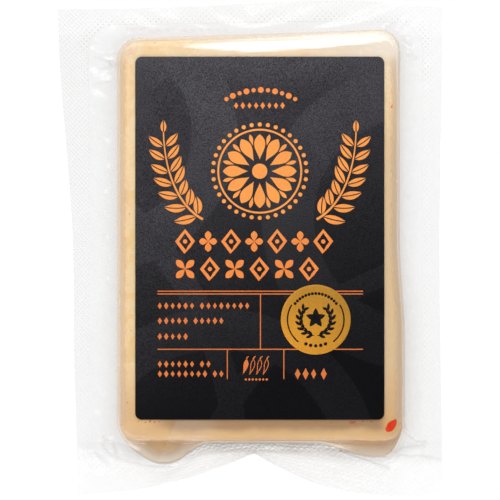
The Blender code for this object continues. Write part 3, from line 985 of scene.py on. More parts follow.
def film_material(colours):
    """Clear film. Each point of the piece says how milky it is there, how much whey tints it and how deep
    it stands in the curl at the foot. The sealed band carries a lattice of small embossed dots."""
    material, nodes, shader = new_material("Vacuum film")
    film = nodes.attribute("flat_film")
    opacity, tint, shade = nodes.split(nodes.attribute("film_look"))
    streak, over_block, past_rim = nodes.split(nodes.attribute("film_veil"))
    seal = nodes.fade(nodes.split(film)[2], -0.1, 0.1)
    relief, marks = seal_marks(nodes, film, seal)
    rim = rim_painted_shade(nodes, film, past_rim)
    crinkle_shade = curl_crinkle_shade(nodes, film, streak, shade, over_block)
    cloud = nodes.noise(film, 0.35, 4.0, 0.6, 0.8)
    facing = nodes.add("ShaderNodeLayerWeight", {"Blend": 0.35}).outputs["Facing"]

    alpha = nodes.math("MULTIPLY_ADD", nodes.math("SUBTRACT", cloud, 0.5), 0.06, opacity)
    for mask, share in ((marks, 0.11), (rim, 0.42), (crinkle_shade, 0.9)):
        alpha = nodes.math("MULTIPLY_ADD", mask, share, alpha)
    alpha = nodes.math("MULTIPLY_ADD", nodes.math("POWER", facing, 2.0), 0.28, alpha, clamp=True)
    uppers = (
        (over_block, colours.film_pale),
        (seal, colours.film_seal),
        (nodes.times(marks, 0.5), colours.film_dot),
        (nodes.times(tint, 0.6), colours.film_whey),
        (nodes.times(rim, 0.9), colours.film_rim_shade),
        # Painted shade low in the curl at the foot and in its crinkles.
        (nodes.math("MULTIPLY_ADD", crinkle_shade, 1.6, shade, clamp=True), colours.film_shade),
    )
    nodes.set(shader.inputs["Base Color"], nodes.layers(colours.film_moat, uppers))
    nodes.set(shader.inputs["Alpha"], alpha)
    rough = nodes.math("MULTIPLY_ADD", seal, 0.25, nodes.fade(cloud, 0.3, 0.7, 0.16, 0.28))
    nodes.set(shader.inputs["Roughness"], rough)
    shader.inputs["Specular IOR Level"].default_value = 0.6
    shader.inputs["Coat Weight"].default_value = 1.0
    shader.inputs["Coat Roughness"].default_value = 0.1
    height = nodes.math("MULTIPLY_ADD", cloud, 0.3, nodes.times(relief, -1.0))
    nodes.set(shader.inputs["Normal"], nodes.bump(height, 0.6, 0.0002))
    return material


def fleck_material(colours):
    material, nodes, shader = new_material("Chilli skin")
    place_in = nodes.place()
    at_x, at_y, _ = nodes.split(place_in)
    uppers = (
        (nodes.fade(nodes.noise(place_in, 700.0, 3.0), 0.35, 0.7), colours.chilli_dark),
        # Painted shadow: smaller bits below the label's lower edge are darker; those further up turn orange.
        (nodes.fade(at_x, *place_x(37.0, 36.0)), colours.chilli_label_shadow),
        (nodes.fade(at_y, *place_y(-46.0, -42.0)), colours.chilli_orange),
    )
    nodes.set(shader.inputs["Base Color"], nodes.layers(colours.chilli, uppers))
    shader.inputs["Roughness"].default_value = 0.4
    shader.inputs["Specular IOR Level"].default_value = 0.15
    nodes.set(shader.inputs["Normal"], nodes.bump(nodes.noise(place_in, 2500.0), 0.3, 0.0001))
    return material


# The label's tonal shapes, as arcs: middle, radius and width in millimetres from the label's middle
TONAL_ARCS = (
    (-46.0, 30.0, 33.0, 13.0),
    (44.0, 6.0, 36.0, 15.0),
    (-12.0, -66.0, 40.0, 12.0),
    (70.0, -96.0, 92.0, 6.0),
    (-104.0, -64.0, 97.0, 7.0),
)
TONAL_EDGE = 0.3


def tonal_shapes(nodes, x, y):
    shapes = 0.0
    for middle_x, middle_y, radius, width in TONAL_ARCS:
        from_x = nodes.math("SUBTRACT", x, *place_x(middle_x + LABEL_MIDDLE[0]))
        from_y = nodes.math("SUBTRACT", y, *place_y(middle_y + LABEL_MIDDLE[1]))
        far = nodes.math("MULTIPLY_ADD", from_y, from_y, nodes.math("POWER", from_x, 2.0))
        off = nodes.math("ABSOLUTE", nodes.math("SUBTRACT", nodes.math("POWER", far, 0.5), radius * MM))
        inside = nodes.fade(off, (width / 2 + TONAL_EDGE) * MM, (width / 2 - TONAL_EDGE) * MM)
        shapes = nodes.math("MAXIMUM", inside, shapes)
    return shapes


def label_material(colours, stock):
    """Charcoal stock, with broad shapes in a slightly lighter black, and a soft sheen. Painted light makes it
    lighter towards the upper left, with a painted sheen along its top, and painted shade makes it darker
    towards the lower right.
    """
    material, nodes, shader = new_material("Charcoal label")
    x, y, _ = nodes.split(nodes.place())
    # Painted light: stock and shapes run from lit at the upper left to painted shade at the lower right.
    towards = nodes.fade(nodes.math("MULTIPLY_ADD", x, -0.5, y), -0.050, 0.072)
    stock_colour = nodes.mix(towards, colours.label_painted_shade, colours.label_charcoal)
    shape_colour = nodes.mix(towards, colours.label_shapes_painted_shade, colours.label_shapes_and_sheen)
    # A painted sheen along the label's top, in the lighter shapes' colour.
    top_painted_sheen = nodes.fade(y, *place_y(42.0, 60.0))
    shapes = nodes.math("MAXIMUM", nodes.times(tonal_shapes(nodes, x, y), 0.7), top_painted_sheen)
    colour = nodes.mix(shapes, stock_colour, shape_colour)
    grain = use_group(nodes, stock, {"Colour": colour, "Grain": 3.0, "Blotch": 0.6, "Grain Size": 3300.0})
    nodes.set(shader.inputs["Base Color"], grain["Colour"])
    nodes.set(shader.inputs["Roughness"], nodes.fade(grain["Height"], 0.2, 0.8, 0.42, 0.5))
    shader.inputs["Specular IOR Level"].default_value = 0.15
    nodes.set(shader.inputs["Normal"], nodes.bump(grain["Height"], 0.12, 0.0001))
    return material


def label_print_material(colours, stock):
    """Orange ink, brightest in the ornament, deepest in the small rows and rules at the foot."""
    material, nodes, _ = print_material("Orange print", colours.print_orange, stock)
    at_y = nodes.split(nodes.place())[1]
    high = nodes.times(nodes.fade(at_y, *place_y(0.0, 12.0)), nodes.fade(at_y, *place_y(40.0, 37.5)))
    ink = nodes.mix(high, colours.print_orange, colours.print_bright)
    ink = nodes.mix(nodes.fade(at_y, *place_y(-9.0, -11.5)), ink, colours.print_deep)
    nodes.set_in_group("Colour", ink)
    return material


def print_material(name, colour, stock, roughness=0.45, shine=0.5):
    material, nodes, shader = new_material(name)
    grain = use_group(nodes, stock, {"Colour": colour, "Grain": 0.35, "Blotch": 0.3, "Grain Size": 2600.0})
    nodes.set(shader.inputs["Base Color"], grain["Colour"])
    rough = nodes.fade(grain["Height"], 0.2, 0.8, roughness - 0.05, roughness + 0.05)
    nodes.set(shader.inputs["Roughness"], rough)
    shader.inputs["Specular IOR Level"].default_value = shine
    nodes.set(shader.inputs["Normal"], nodes.bump(grain["Height"], 0.1, 0.0001))
    return material, nodes, shader


def foil_material(colours, stock):
    """Gold foil, darker towards its upper right."""
    material, nodes, shader = print_material("Gold foil", colours.sticker_gold, stock, 0.38)
    shader.inputs["Metallic"].default_value = 0.3
    at_x, at_y, _ = nodes.split(nodes.place())
    lean = nodes.math("MULTIPLY_ADD", at_x, 0.6, at_y)
    middle_x, middle_y, _ = place(np.array((*(LABEL_MIDDLE + STICKER_PLACE), 0.0)))
    middle = middle_x * 0.6 + middle_y
    tone = nodes.fade(lean, middle - 0.012, middle + 0.012)
    nodes.set_in_group("Colour", nodes.mix(tone, colours.sticker_gold, colours.sticker_darker))
    return material


def across_path(path):
    """At each point of a path, the unit vector to its left."""
    run = np.gradient(path, axis=0)
    run /= np.maximum(np.hypot(*run.T), 1e-9)[:, None]
    return np.column_stack([-run[:, 1], run[:, 0]])


def leaf_course(base, direction, length, lean, fullness):
    """A leaf's middle line, bent by lean, and its width along it as a share of the widest."""
    share = np.linspace(0.0, 1.0, 13)
    angle = math.radians(direction) + lean * (share - 0.5)
    step = np.column_stack([np.cos(angle), np.sin(angle)]) * length / (len(share) - 1)
    path = np.array(base) + np.concatenate([[(0, 0)], np.cumsum(step[:-1], axis=0)])
    return path, np.maximum(np.sin(math.pi * share ** (math.log(0.5) / math.log(fullness))), 0) ** 0.8


class Plates:
    """Gathers flat strips of print that follow the front's height, each a thin closed plate."""

    def __init__(self, low, high):
        self.low, self.high = low, high
        self.vertices, self.faces = [], []

    def strip(self, path, widths):
        """A strip along a path of points, as wide as widths say, in millimetres from the label's middle."""
        path = np.asarray(path, float)
        widths = np.broadcast_to(widths, len(path))
        across = across_path(path) * (widths / 2)[:, None]
        flat = np.stack([path + across, path - across], axis=1).reshape(-1, 2) + LABEL_MIDDLE
        height = front_height(flat, block_height())
        start = sum(len(part) for part in self.vertices)
        top = with_height(flat, height + self.high)
        bottom = with_height(flat, height + self.low)
        self.vertices.append(np.concatenate([top, bottom]))
        count = len(flat)
        for i in range(len(path) - 1):
            a, b, c, d = (start + 2 * i + k for k in (0, 1, 3, 2))
            self.faces += [(a, b, c, d), (d + count, c + count, b + count, a + count)]
            self.faces += [(b, b + count, c + count, c), (d, d + count, a + count, a)]
        first, last = start, start + count - 2
        self.faces.append((first, first + count, first + count + 1, first + 1))
        self.faces.append((last + 1, last + 1 + count, last + count, last))

    def line(self, begin, end, width):
        steps = max(2, int(math.dist(begin, end) / 2.0) + 1)
        share = np.linspace(0, 1, steps)[:, None]
        self.strip(between(np.array(begin), np.array(end), share), width)

    def arc(self, middle, radius, begin, end, width):
        angle = np.radians(np.linspace(begin, end, max(4, int(abs(end - begin) / 4) + 1)))
        self.strip(np.array(middle) + radius * np.column_stack([np.cos(angle), np.sin(angle)]), width)

    def leaf(self, base, direction, length, width, lean=0.0, fullness=0.45):
        """A pointed leaf from its base, with its widest place at fullness of its length."""
        path, body = leaf_course(base, direction, length, lean, fullness)
        self.strip(path, np.maximum(width * body, 0.02))

    def split_leaf(self, base, direction, length, width, lean=0.0, fullness=0.45, gap=0.3):
        """The same, in two halves with a bare line between them."""
        path, body = leaf_course(base, direction, length, lean, fullness)
        half = np.maximum((width * body - gap) / 2, 0.02)
        for side in (-1, 1):
            self.strip(path + across_path(path) * (side * (gap + half) / 2)[:, None], half)

    def disc(self, middle, radius, stretch=1.0, turn=0.0):
        """A disc or a slanted oval."""
        share = np.cos(np.linspace(math.pi, 0, 11))
        facing = np.array((math.cos(math.radians(turn)), math.sin(math.radians(turn))))
        path = np.array(middle) + np.outer(share * radius * stretch, facing)
        self.strip(path, np.maximum(2 * radius * np.sqrt(np.maximum(1 - share**2, 0)), 0.02))

    def lozenge(self, middle, half_width, half_height):
        x, y = middle
        path = [(x, y - half_height), (x, y), (x, y + half_height)]
        self.strip(path, (0.02, 2 * half_width, 0.02))

    def diamond(self, middle, half_width, half_height):
        """The outline of a diamond with a dot in it."""
        x, y = middle
        corners = [(x + half_width, y), (x, y + half_height), (x - half_width, y), (x, y - half_height)]
        half_way = (x + half_width / 2, y - half_height / 2)
        self.strip([half_way, *corners, half_way], (0.85, 1.15, 1.15, 1.15, 1.15, 0.85))
        self.disc(middle, 0.62)

    def mesh(self, name):
        mesh = bpy.data.meshes.new(name)
        mesh.from_pydata(place(np.concatenate(self.vertices)).tolist(), [], self.faces)
        mesh.update()
        return mesh


def mark_row(plates, begin, groups, pitch=1.85, width=1.3, tall=2.0, gap=1.0):
    """A row of small upright lozenges in groups, as a plain stand-in where a line of words would be."""
    x = begin[0] + width / 2
    for group, count in enumerate(groups):
        for i in range(count):
            size = 0.94 + 0.08 * math.sin(i * 2.1 + group)
            plates.lozenge((x, begin[1]), width / 2 * size, tall / 2 * size)
            x += pitch
        x += gap


def around(middle, radius, direction):
    """The point at a distance from a middle, in a direction in degrees."""
    angle = math.radians(direction)
    return np.array(middle) + radius * np.array((math.cos(angle), math.sin(angle)))


def rosette(plates, middle, petals, inner, outer, width, turn=0.0, fullness=0.62):
    for i in range(petals):
        direction = turn + 360 * i / petals
        plates.leaf(around(middle, inner, direction), direction, outer - inner, width, fullness=fullness)


def motif_row(plates, y, pitch, count, first_diamond, tall, leaves):
    """Diamonds and four-leaved motifs by turns. Leaves holds each leaf's direction and length."""
    for i in range(count):
        spot = (MOTIFS_LEFT + i * pitch, y)
        if i % 2 == first_diamond:
            plates.diamond(spot, 2.3, tall)
        else:
            for direction, length in leaves:
                plates.leaf(spot, direction, length, 1.9, fullness=0.6)


def curve_through(points, steps):
    """A smooth course with the given ends, drawn towards the points between them."""
    share = np.linspace(0, 1, steps)[:, None]
    points = np.array(points, float)
    degree = len(points) - 1
    return sum(
        math.comb(degree, i) * share**i * (1 - share) ** (degree - i) * points[i] for i in range(degree + 1)
    )


def spray(plates, side):
    """A leafy branch that rises beside the middle ornament."""
    course = curve_through(((16.3, 5.4), (22.3, 8.6), (27.2, 17.0), (27.6, 30.4)), 60)
    path = course * (side, 1)
    plates.strip(path, np.linspace(0.7, 0.35, 60))
    run = np.concatenate([[0], np.cumsum(np.hypot(*np.diff(path, axis=0).T))])
    for i in range(7):
        k = int(np.searchsorted(run, 1.9 + 3.75 * i))
        heading = math.degrees(math.atan2(*(path[min(k + 1, 59)] - path[k - 1])[::-1]))
        length = 6.3 - 0.25 * i
        for turn in (48, -48):
            inner = turn * side > 0
            across = np.array((-math.sin(math.radians(heading)), math.cos(math.radians(heading))))
            base = path[k] + across * (0.5 if turn > 0 else -0.5)
            shorter = 1.3 if inner and i < 3 else 0.0
            plates.split_leaf(base, heading + turn, length - shorter, 2.5 - 0.07 * i, lean=-turn / 130)
    plates.split_leaf(path[-1], 90, 3.4, 1.7)


# The label's print, from its middle: the ends of its rules, its first motif, its ornament and the arch of
# beads over it
RULES_LEFT = -29.3
RULES_RIGHT = 29.6
MOTIFS_LEFT = -21.4
ORNAMENT_MIDDLE = (0.0, 19.2)
ARCH_MIDDLE = (0.3, 22.8)
ARCH_RADIUS = 19.7


def label_print(plates):
    """The label's rules, and a plain ornament in the places where words and a picture would be."""
    for y in (-15.2, -16.0, -31.85):
        plates.line((RULES_LEFT, y), (RULES_RIGHT, y), 0.3)
    for x, top, foot in ((0.2, -16.15, -31.7), (-9.3, -32.0, -40.4), (6.9, -32.0, -40.4)):
        plates.line((x, top), (x, foot), 0.28)

    for i in range(-5, 6):
        plates.disc(around(ARCH_MIDDLE, ARCH_RADIUS, 90 - 6.0 * i), 0.62 if i % 2 else 0.85)
    mark_row(plates, (-7.4, 38.0), (8,), pitch=1.9)

    rosette(plates, ORNAMENT_MIDDLE, 12, 3.4, 10.6, 3.2)
    rosette(plates, ORNAMENT_MIDDLE, 12, 7.6, 10.9, 1.1, turn=15)
    plates.disc(ORNAMENT_MIDDLE, 2.2)
    plates.arc(ORNAMENT_MIDDLE, 11.9, 0, 360, 0.55)
    for i in range(36):
        plates.disc(around(ORNAMENT_MIDDLE, 13.4, 10 * i), 0.6)
    for side in (-1, 1):
        spray(plates, side)

    motif_row(plates, -0.95, 6.6, 7, 0, 3.0, ((0, 2.6), (90, 3.0), (180, 2.6), (270, 3.0)))
    motif_row(plates, -8.85, 7.1, 6, 1, 2.9, ((45, 3.6), (135, 3.6), (225, 3.6), (315, 3.6)))

    for y, groups in ((-19.4, (6, 8)), (-23.7, (5, 5)), (-28.2, (5,)), (-36.1, (6, 2)), (-38.9, (8, 2))):
        mark_row(plates, (RULES_LEFT, y), groups)
    mark_row(plates, (10.0, -38.9), (3, 1), pitch=2.3, width=1.7, tall=3.3, gap=0.6)


def heat_scale(plates):
    """Four small pods: the first filled, the others in outline."""
    for i in range(4):
        foot = (-4.9 + 1.95 * i, -39.1)
        path, body = leaf_course(foot, 77, 4.6, 0.45, 0.66)
        if i == 0:
            plates.strip(path, np.maximum(1.4 * body, 0.02))
        else:
            side = across_path(path) * (0.55 * body)[:, None]
            plates.strip(np.concatenate([path + side, (path - side)[::-1]]), 0.2)
        x, y = path[-1]
        plates.strip([(x, y), (x + 0.2, y + 0.55), (x + 0.65, y + 0.8)], (0.4, 0.3, 0.24))
    for i in range(7):
        plates.disc((-4.0 + 1.0 * i, -40.5), 0.32)


def sticker_print(plates):
    """Two ring lines, beads, a pair of laurel branches and a star, all plain."""
    middle = STICKER_PLACE
    plates.arc(middle, 8.1, 148, 232, 0.42)
    plates.arc(middle, 8.1, -52, 32, 0.42)
    for i in range(15):
        plates.disc(around(middle, 7.5, 142 - 104 * i / 14), 0.44)
    for i in range(5):
        plates.disc(around(middle, 7.5, -112 + 44 * i / 4), 0.5)
    for side in (-1, 1):
        for i in range(7):
            angle = math.radians(-78 + 19 * i)
            base = middle + 4.6 * np.array((side * math.cos(angle), math.sin(angle)))
            heading = math.degrees(angle) + 90
            for turn in (32, -32):
                direction = heading + turn
                plates.leaf(base, direction if side > 0 else 180 - direction, 2.0, 0.85, fullness=0.5)
        angle = np.radians(np.linspace(-84, 38, 20))
        branch = np.column_stack([side * np.cos(angle), np.sin(angle)]) * 4.6 + middle
        plates.strip(branch, 0.24)
    for i in range(5):
        direction = 90 + 72 * i
        plates.leaf(middle + (0, 0.4), direction, 2.9, 1.7, fullness=0.35)


def label_piece_mesh(name, low, high):
    """The label's sheet, which lies on the film and follows the front's height."""
    half_x, half_y = LABEL_WIDTH / 2, LABEL_LENGTH / 2
    x, y = LABEL_MIDDLE
    outline = ring(x - half_x, x + half_x, y - half_y, y + half_y, LABEL_CORNER)
    height = block_height()
    rings = [*scaled_rings(outline, 24), outline]
    sections = [with_height(points, front_height(points, height) + high) for points in rings]
    sections += [with_height(points, front_height(points, height) + low) for points in reversed(rings)]
    return ring_mesh(name, sections)


def sticker_mesh(name, low, high):
    """A thin round foil, with a slightly rounded rim."""
    middle = LABEL_MIDDLE + STICKER_PLACE
    angle = np.linspace(0, 2 * math.pi, 129)[:-1]
    circle = np.column_stack([np.cos(angle), np.sin(angle)])
    rings = [(radius, high) for radius in (0.05, 3, 6, 9, 9.85)]
    rings += [(STICKER_RADIUS, high - STICKER_ROUNDING), (STICKER_RADIUS, low), (5, low), (0.05, low)]
    sections = []
    for radius, lift in rings:
        points = middle + circle * radius
        sections.append(with_height(points, front_height(points, block_height()) + lift))
    return ring_mesh(name, sections)


# Bits of chilli that the photograph shows: pixels across and down, then half length, half width and turn
SHOWN_FLECKS = (
    (390.7, 425.0, 2.15, 1.25, 52),
    (306.6, 55.2, 0.5, 0.32, 10),
    (391.3, 107.0, 0.55, 0.35, 70),
    (352.0, 421.8, 1.1, 0.4, 5),
    (139.0, 421.0, 0.25, 0.2, 0),
    (146.0, 421.6, 0.3, 0.18, 20),
    (150.5, 420.6, 0.34, 0.22, 60),
    (155.0, 421.3, 0.42, 0.2, 10),
    (160.0, 420.9, 0.3, 0.2, 80),
    (131.5, 330.0, 0.22, 0.16, 30),
    (128.0, 402.0, 0.26, 0.18, 15),
    (130.0, 214.0, 0.2, 0.15, 75),
    (362.0, 420.6, 0.3, 0.18, 0),
    (371.0, 421.0, 0.5, 0.2, 5),
    (331.0, 421.6, 0.25, 0.18, 0),
)
HIDDEN_FLECKS = 110
FLECK_SIDES = 12
FLECK_TOP = 0.16
FLECK_DEPTH = 0.25

# A bit's rounded skin from its middle outwards: share of its reach, and height over the cheese
FLECK_LAYERS = ((0.62, 0.13), (0.92, 0.05), (1.0, -0.05), (0.8, -FLECK_DEPTH))


def mesh_values(items, name, width):
    """One value or vector for each vertex or face of a mesh."""
    values = np.empty(len(items) * width)
    items.foreach_get(name, values)
    return values if width == 1 else values.reshape(-1, width)


def shown_flecks(centres, normals):
    """Place, normal, half length, half width and turn of each bit that the photograph shows."""
    facing_up = np.flatnonzero(normals[:, 2] > 0.2)
    for across, down, long, short, turn in SHOWN_FLECKS:
        flat = ((across - PICTURE_MIDDLE[0]) * PIXEL, (PICTURE_MIDDLE[1] - down) * PIXEL)
        spot = place(np.array((*flat, 0.0)))
        face = facing_up[np.argmin(np.hypot(*(centres[facing_up, :2] - spot[:2]).T))]
        base = Vector((spot[0], spot[1], centres[face, 2]))
        yield base, Vector(normals[face]), long, short, math.radians(turn)


def hidden_flecks(centres, normals, areas, rng):
    """The same for other bits, on the sides and the back, which the photograph doesn't show."""
    hidden = np.flatnonzero(normals[:, 2] < 0.35)
    weights = areas[hidden] / areas[hidden].sum()
    for face in np.random.default_rng(5).choice(hidden, size=HIDDEN_FLECKS, p=weights, replace=False):
        long = 0.22 + 1.5 * rng.random() ** 5
        short = long * rng.uniform(0.4, 0.8)
        yield Vector(centres[face]), Vector(normals[face]), long, short, rng.uniform(0, math.pi)


def fleck_points(base, normal, long, short, turn, ragged):
    """The points of one ragged oval bit, ring by ring, with one point over its middle and one below."""
    across = normal.orthogonal().normalized()
    if abs(normal.z) > 0.7:
        across = (Vector((1, 0, 0)) - normal * normal.x).normalized()
    other = normal.cross(across)
    scale = min(1.0, long / 0.6)
    points = [base + normal * FLECK_TOP * MM]
    for reach, lift in FLECK_LAYERS:
        for k, uneven in enumerate(ragged):
            angle = 2 * math.pi * k / FLECK_SIDES
            a = long * math.cos(angle) * uneven * reach
            b = short * math.sin(angle) * uneven * reach
            u = a * math.cos(turn) - b * math.sin(turn)
            v = a * math.sin(turn) + b * math.cos(turn)
            points.append(base + (across * u + other * v + normal * lift * scale) * MM)
    points.append(base - normal * FLECK_DEPTH * MM)
    return points


def fleck_faces(start):
    """The faces over those points, of which the first has this index."""
    first, last = start + 1, start + 1 + (len(FLECK_LAYERS) - 1) * FLECK_SIDES
    faces = []
    for k in range(FLECK_SIDES):
        n = (k + 1) % FLECK_SIDES
        faces.append((start, first + k, first + n))
        for a in range(first, last, FLECK_SIDES):
            faces.append((a + k, a + FLECK_SIDES + k, a + FLECK_SIDES + n, a + n))
        faces.append((last + n, last + k, last + FLECK_SIDES))
    return faces


def fleck_mesh(name, cheese):
    """Bits of chilli skin, half sunk in the cheese."""
    rng = random.Random(11)
    polygons = cheese.data.polygons
    centres, normals = mesh_values(polygons, "center", 3), mesh_values(polygons, "normal", 3)
    chosen = list(shown_flecks(centres, normals))
    chosen += hidden_flecks(centres, normals, mesh_values(polygons, "area", 1), rng)
    vertices, faces = [], []
    for fleck in chosen:
        ragged = [rng.uniform(0.86, 1.1) for _ in range(FLECK_SIDES)]
        faces += fleck_faces(len(vertices))
        vertices += fleck_points(*fleck, ragged)
    mesh = bpy.data.meshes.new(name)
    mesh.from_pydata([tuple(v) for v in vertices], [], faces)
    mesh.shade_smooth()
    mesh.update()
    return mesh


def roughen(mesh):
    """Presses shallow, uneven hollows into the cheese, deeper on its sides than on its faces."""
    places, normals = mesh_values(mesh.vertices, "co", 3), mesh_values(mesh.vertices, "normal", 3)
    depths = np.array([
        noise.noise(Vector(p) * 170) * 0.5 + noise.noise(Vector(p) * 420) * 0.3 + 0.5
        for p in places.tolist()
    ])
    steep = 1 - np.abs(normals[:, 2])
    depth = np.clip(depths, 0, 1) * (0.05 + 0.3 * steep) * MM
    mesh.vertices.foreach_set("co", (places - normals * depth[:, None]).ravel())
    mesh.update()


def label_top():
    """How far the label's upper face lies over the film's middle."""
    return LABEL_LIFT + bpy.context.scene.halloumi_sizes.label_thickness / MM


def plates_on(face):
    """Print that is sunk a little in a face and stands a little proud of it."""
    return Plates(face - PRINT_SINK, face + PRINT_RISE)


def length_property(name, description, default, precision):
    return FloatProperty(
        name=name, description=description, default=default, unit="LENGTH", precision=precision
    )


class HalloumiSizes(bpy.types.PropertyGroup):
    block_height: length_property("Block height", "Height of the folded block", 0.0186, 4)
    film_thickness: length_property("Film", "Thickness of the two films together", 0.00024, 5)
    label_thickness: length_property("Label", "Thickness of the label", 0.00012, 5)


def colour_property(name, description, default):
    return FloatVectorProperty(
        name=name, description=description, default=default, subtype="COLOR", min=0.0, max=1.0
    )


class HalloumiColours(bpy.types.PropertyGroup):
    cheese_pale: colour_property("Cheese", "Palest cheese", (0.95, 0.73, 0.44))
    cheese_ochre: colour_property("Cheese patches", "Yellower patches", (0.88, 0.60, 0.27))
    # Painted shade of the cheese along the block's right side.
    cheese_right_painted_shade: colour_property("Shaded cheese", "Cheese along the right side", (0.77, 0.555, 0.315))
    # Painted shade of the cheese at its foot.
    cheese_foot_painted_shade: colour_property("Cheese foot", "Cheese at the foot, which is wetter", (0.745, 0.45, 0.175))
    # Painted shadow of the label's lower edge on the cheese.
    cheese_label_shadow: colour_property("Cheese in label shadow", "Cheese beside the label's lower edge", (0.39, 0.195, 0.062))
    chilli: colour_property("Chilli", "Chilli skin", (0.86, 0.045, 0.001))
    chilli_orange: colour_property("Orange chilli", "Smaller bits further up", (0.80, 0.17, 0.015))
    # Painted shadow on the bits below the label's lower edge.
    chilli_label_shadow: colour_property("Shadowed chilli", "Smaller bits in the strip at the foot", (0.50, 0.085, 0.02))
    chilli_dark: colour_property("Dark chilli", "Darker chilli skin", (0.76, 0.030, 0.001))
    film_pale: colour_property("Milky film", "Film that stands off the cheese", (0.99, 0.90, 0.77))
    film_moat: colour_property("Loose film", "Film between the block and the seal", (0.60, 0.60, 0.61))
    film_seal: colour_property("Sealed film", "Film of the sealed band", (0.66, 0.66, 0.66))
    film_whey: colour_property("Whey", "Film with whey behind it, next to the cheese", (0.86, 0.70, 0.54))
    # Painted shade along the block's rim.
    film_rim_shade: colour_property("Rim", "Dull line along the block's rim", (0.78, 0.58, 0.39))
    film_shade: colour_property("Curl", "Film low in the curl at the foot", (0.40, 0.355, 0.31))
    film_dot: colour_property("Embossing", "Embossed dots of the seal", (0.30, 0.30, 0.31))
    # The label's lit stock and lighter shapes, and the painted shade of both at the lower right. The lighter
    # shapes' colour is also the painted sheen along the top.
    label_charcoal: colour_property("Label", "Label stock", (0.043, 0.0407, 0.0475))
    label_painted_shade: colour_property("Label's dark end", "Stock at the lower right", (0.0017, 0.0014, 0.0028))
    label_shapes_painted_shade: colour_property("Dim label shapes", "Shapes at the lower right", (0.0080, 0.0073, 0.0100))
    label_shapes_and_sheen: colour_property("Label shapes", "Shapes in a lighter black", (0.073, 0.0700, 0.0790))
    print_orange: colour_property("Print", "Print on the label", (0.93, 0.27, 0.052))
    print_bright: colour_property("Bright print", "Print of the label's ornament", (0.97, 0.345, 0.07))
    print_deep: colour_property("Deep print", "Small print and rules of the label", (0.78, 0.195, 0.038))
    sticker_gold: colour_property("Sticker", "Sticker foil", (0.90, 0.39, 0.031))
    sticker_darker: colour_property("Darker sticker", "Sticker foil at its upper right", (0.60, 0.285, 0.030))
    sticker_ink: colour_property("Sticker print", "Print on the sticker", (0.008, 0.007, 0.009))
    film_clear: FloatProperty(name="Haze on cheese", description="Opacity of clinging film", default=0.08)
    film_loose: FloatProperty(name="Haze off cheese", description="Opacity of loose film", default=0.22)


class HALLOUMI_OT_cheese(bpy.types.Operator):
    """Build the folded slab of cheese and the bits of chilli in it"""

    bl_idname = "halloumi.cheese"
    bl_label = "Cheese"

    def execute(self, context):
        mesh = ring_mesh("cheese", cheese_sections())
        roughen(mesh)
        colours = context.scene.halloumi_colours
        cheese = add_piece("cheese", mesh, cheese_material(colours), "cheese", "pouch")
        flecks = fleck_mesh("chilli_flecks", cheese)
        add_piece("chilli_flecks", flecks, fleck_material(colours), "cheese")
        return {"FINISHED"}


class HALLOUMI_OT_film(bpy.types.Operator):
    """Build the clear pouch around the cheese"""

    bl_idname = "halloumi.film"
    bl_label = "Film pouch"

    def execute(self, context):
        thickness = context.scene.halloumi_sizes.film_thickness / MM
        sections, attributes = film_sections(thickness)
        mesh = ring_mesh("film", sections, attributes)
        add_piece("film", mesh, film_material(context.scene.halloumi_colours), "film", "pouch")
        return {"FINISHED"}


class HALLOUMI_OT_label(bpy.types.Operator):
    """Build the label and its print"""

    bl_idname = "halloumi.label"
    bl_label = "Label"

    def execute(self, context):
        stock = bpy.data.node_groups.get("Printed stock") or printed_stock_group()
        colours = context.scene.halloumi_colours
        sheet = label_piece_mesh("label_sheet", LABEL_LIFT, label_top())
        add_piece("label_sheet", sheet, label_material(colours, stock), "label", "label")
        plates = plates_on(label_top())
        label_print(plates)
        heat_scale(plates)
        orange = label_print_material(colours, stock)
        add_piece("label_print", plates.mesh("label_print"), orange, "label")
        return {"FINISHED"}


class HALLOUMI_OT_sticker(bpy.types.Operator):
    """Build the round foil sticker and its print"""

    bl_idname = "halloumi.sticker"
    bl_label = "Sticker"

    def execute(self, context):
        stock = bpy.data.node_groups.get("Printed stock") or printed_stock_group()
        colours = context.scene.halloumi_colours
        low = label_top() + STICKER_LIFT
        high = low + STICKER_THICKNESS
        foil = sticker_mesh("sticker", low, high)
        add_piece("sticker", foil, foil_material(colours, stock), "sticker", "award_sticker")
        plates = plates_on(high)
        sticker_print(plates)
        ink, _, _ = print_material("Sticker ink", colours.sticker_ink, stock, 0.5, 0.12)
        add_piece("sticker_print", plates.mesh("sticker_print"), ink, "sticker")
        return {"FINISHED"}


# Lights: place and target in metres, width and height, and power in watts
LIGHTS = {
    "key": ((-0.07, 0.25, 0.37), (0.0, 0.02, 0.01), 0.42, 0.15, 0.98),
    "corner": ((0.085, 0.12, 0.075), (0.044, 0.06, 0.018), 0.06, 0.06, 0.025),
    "fill": ((-0.12, -0.34, 0.30), (0.0, -0.02, 0.01), 0.4, 0.2, 0.75),
}
FLOOR_HALF = 12.0
FLOOR_DROP = 0.0002


def area_light(name, spot, target, width, height, power):
    data = bpy.data.lights.new(name, "AREA")
    data.shape = "RECTANGLE"
    data.size, data.size_y = width, height
    data.energy = power
    lamp = bpy.data.objects.new(name, data)
    bpy.context.scene.collection.objects.link(lamp)
    lamp.location = spot
    lamp.rotation_euler = (Vector(target) - Vector(spot)).to_track_quat("-Z", "Y").to_euler()


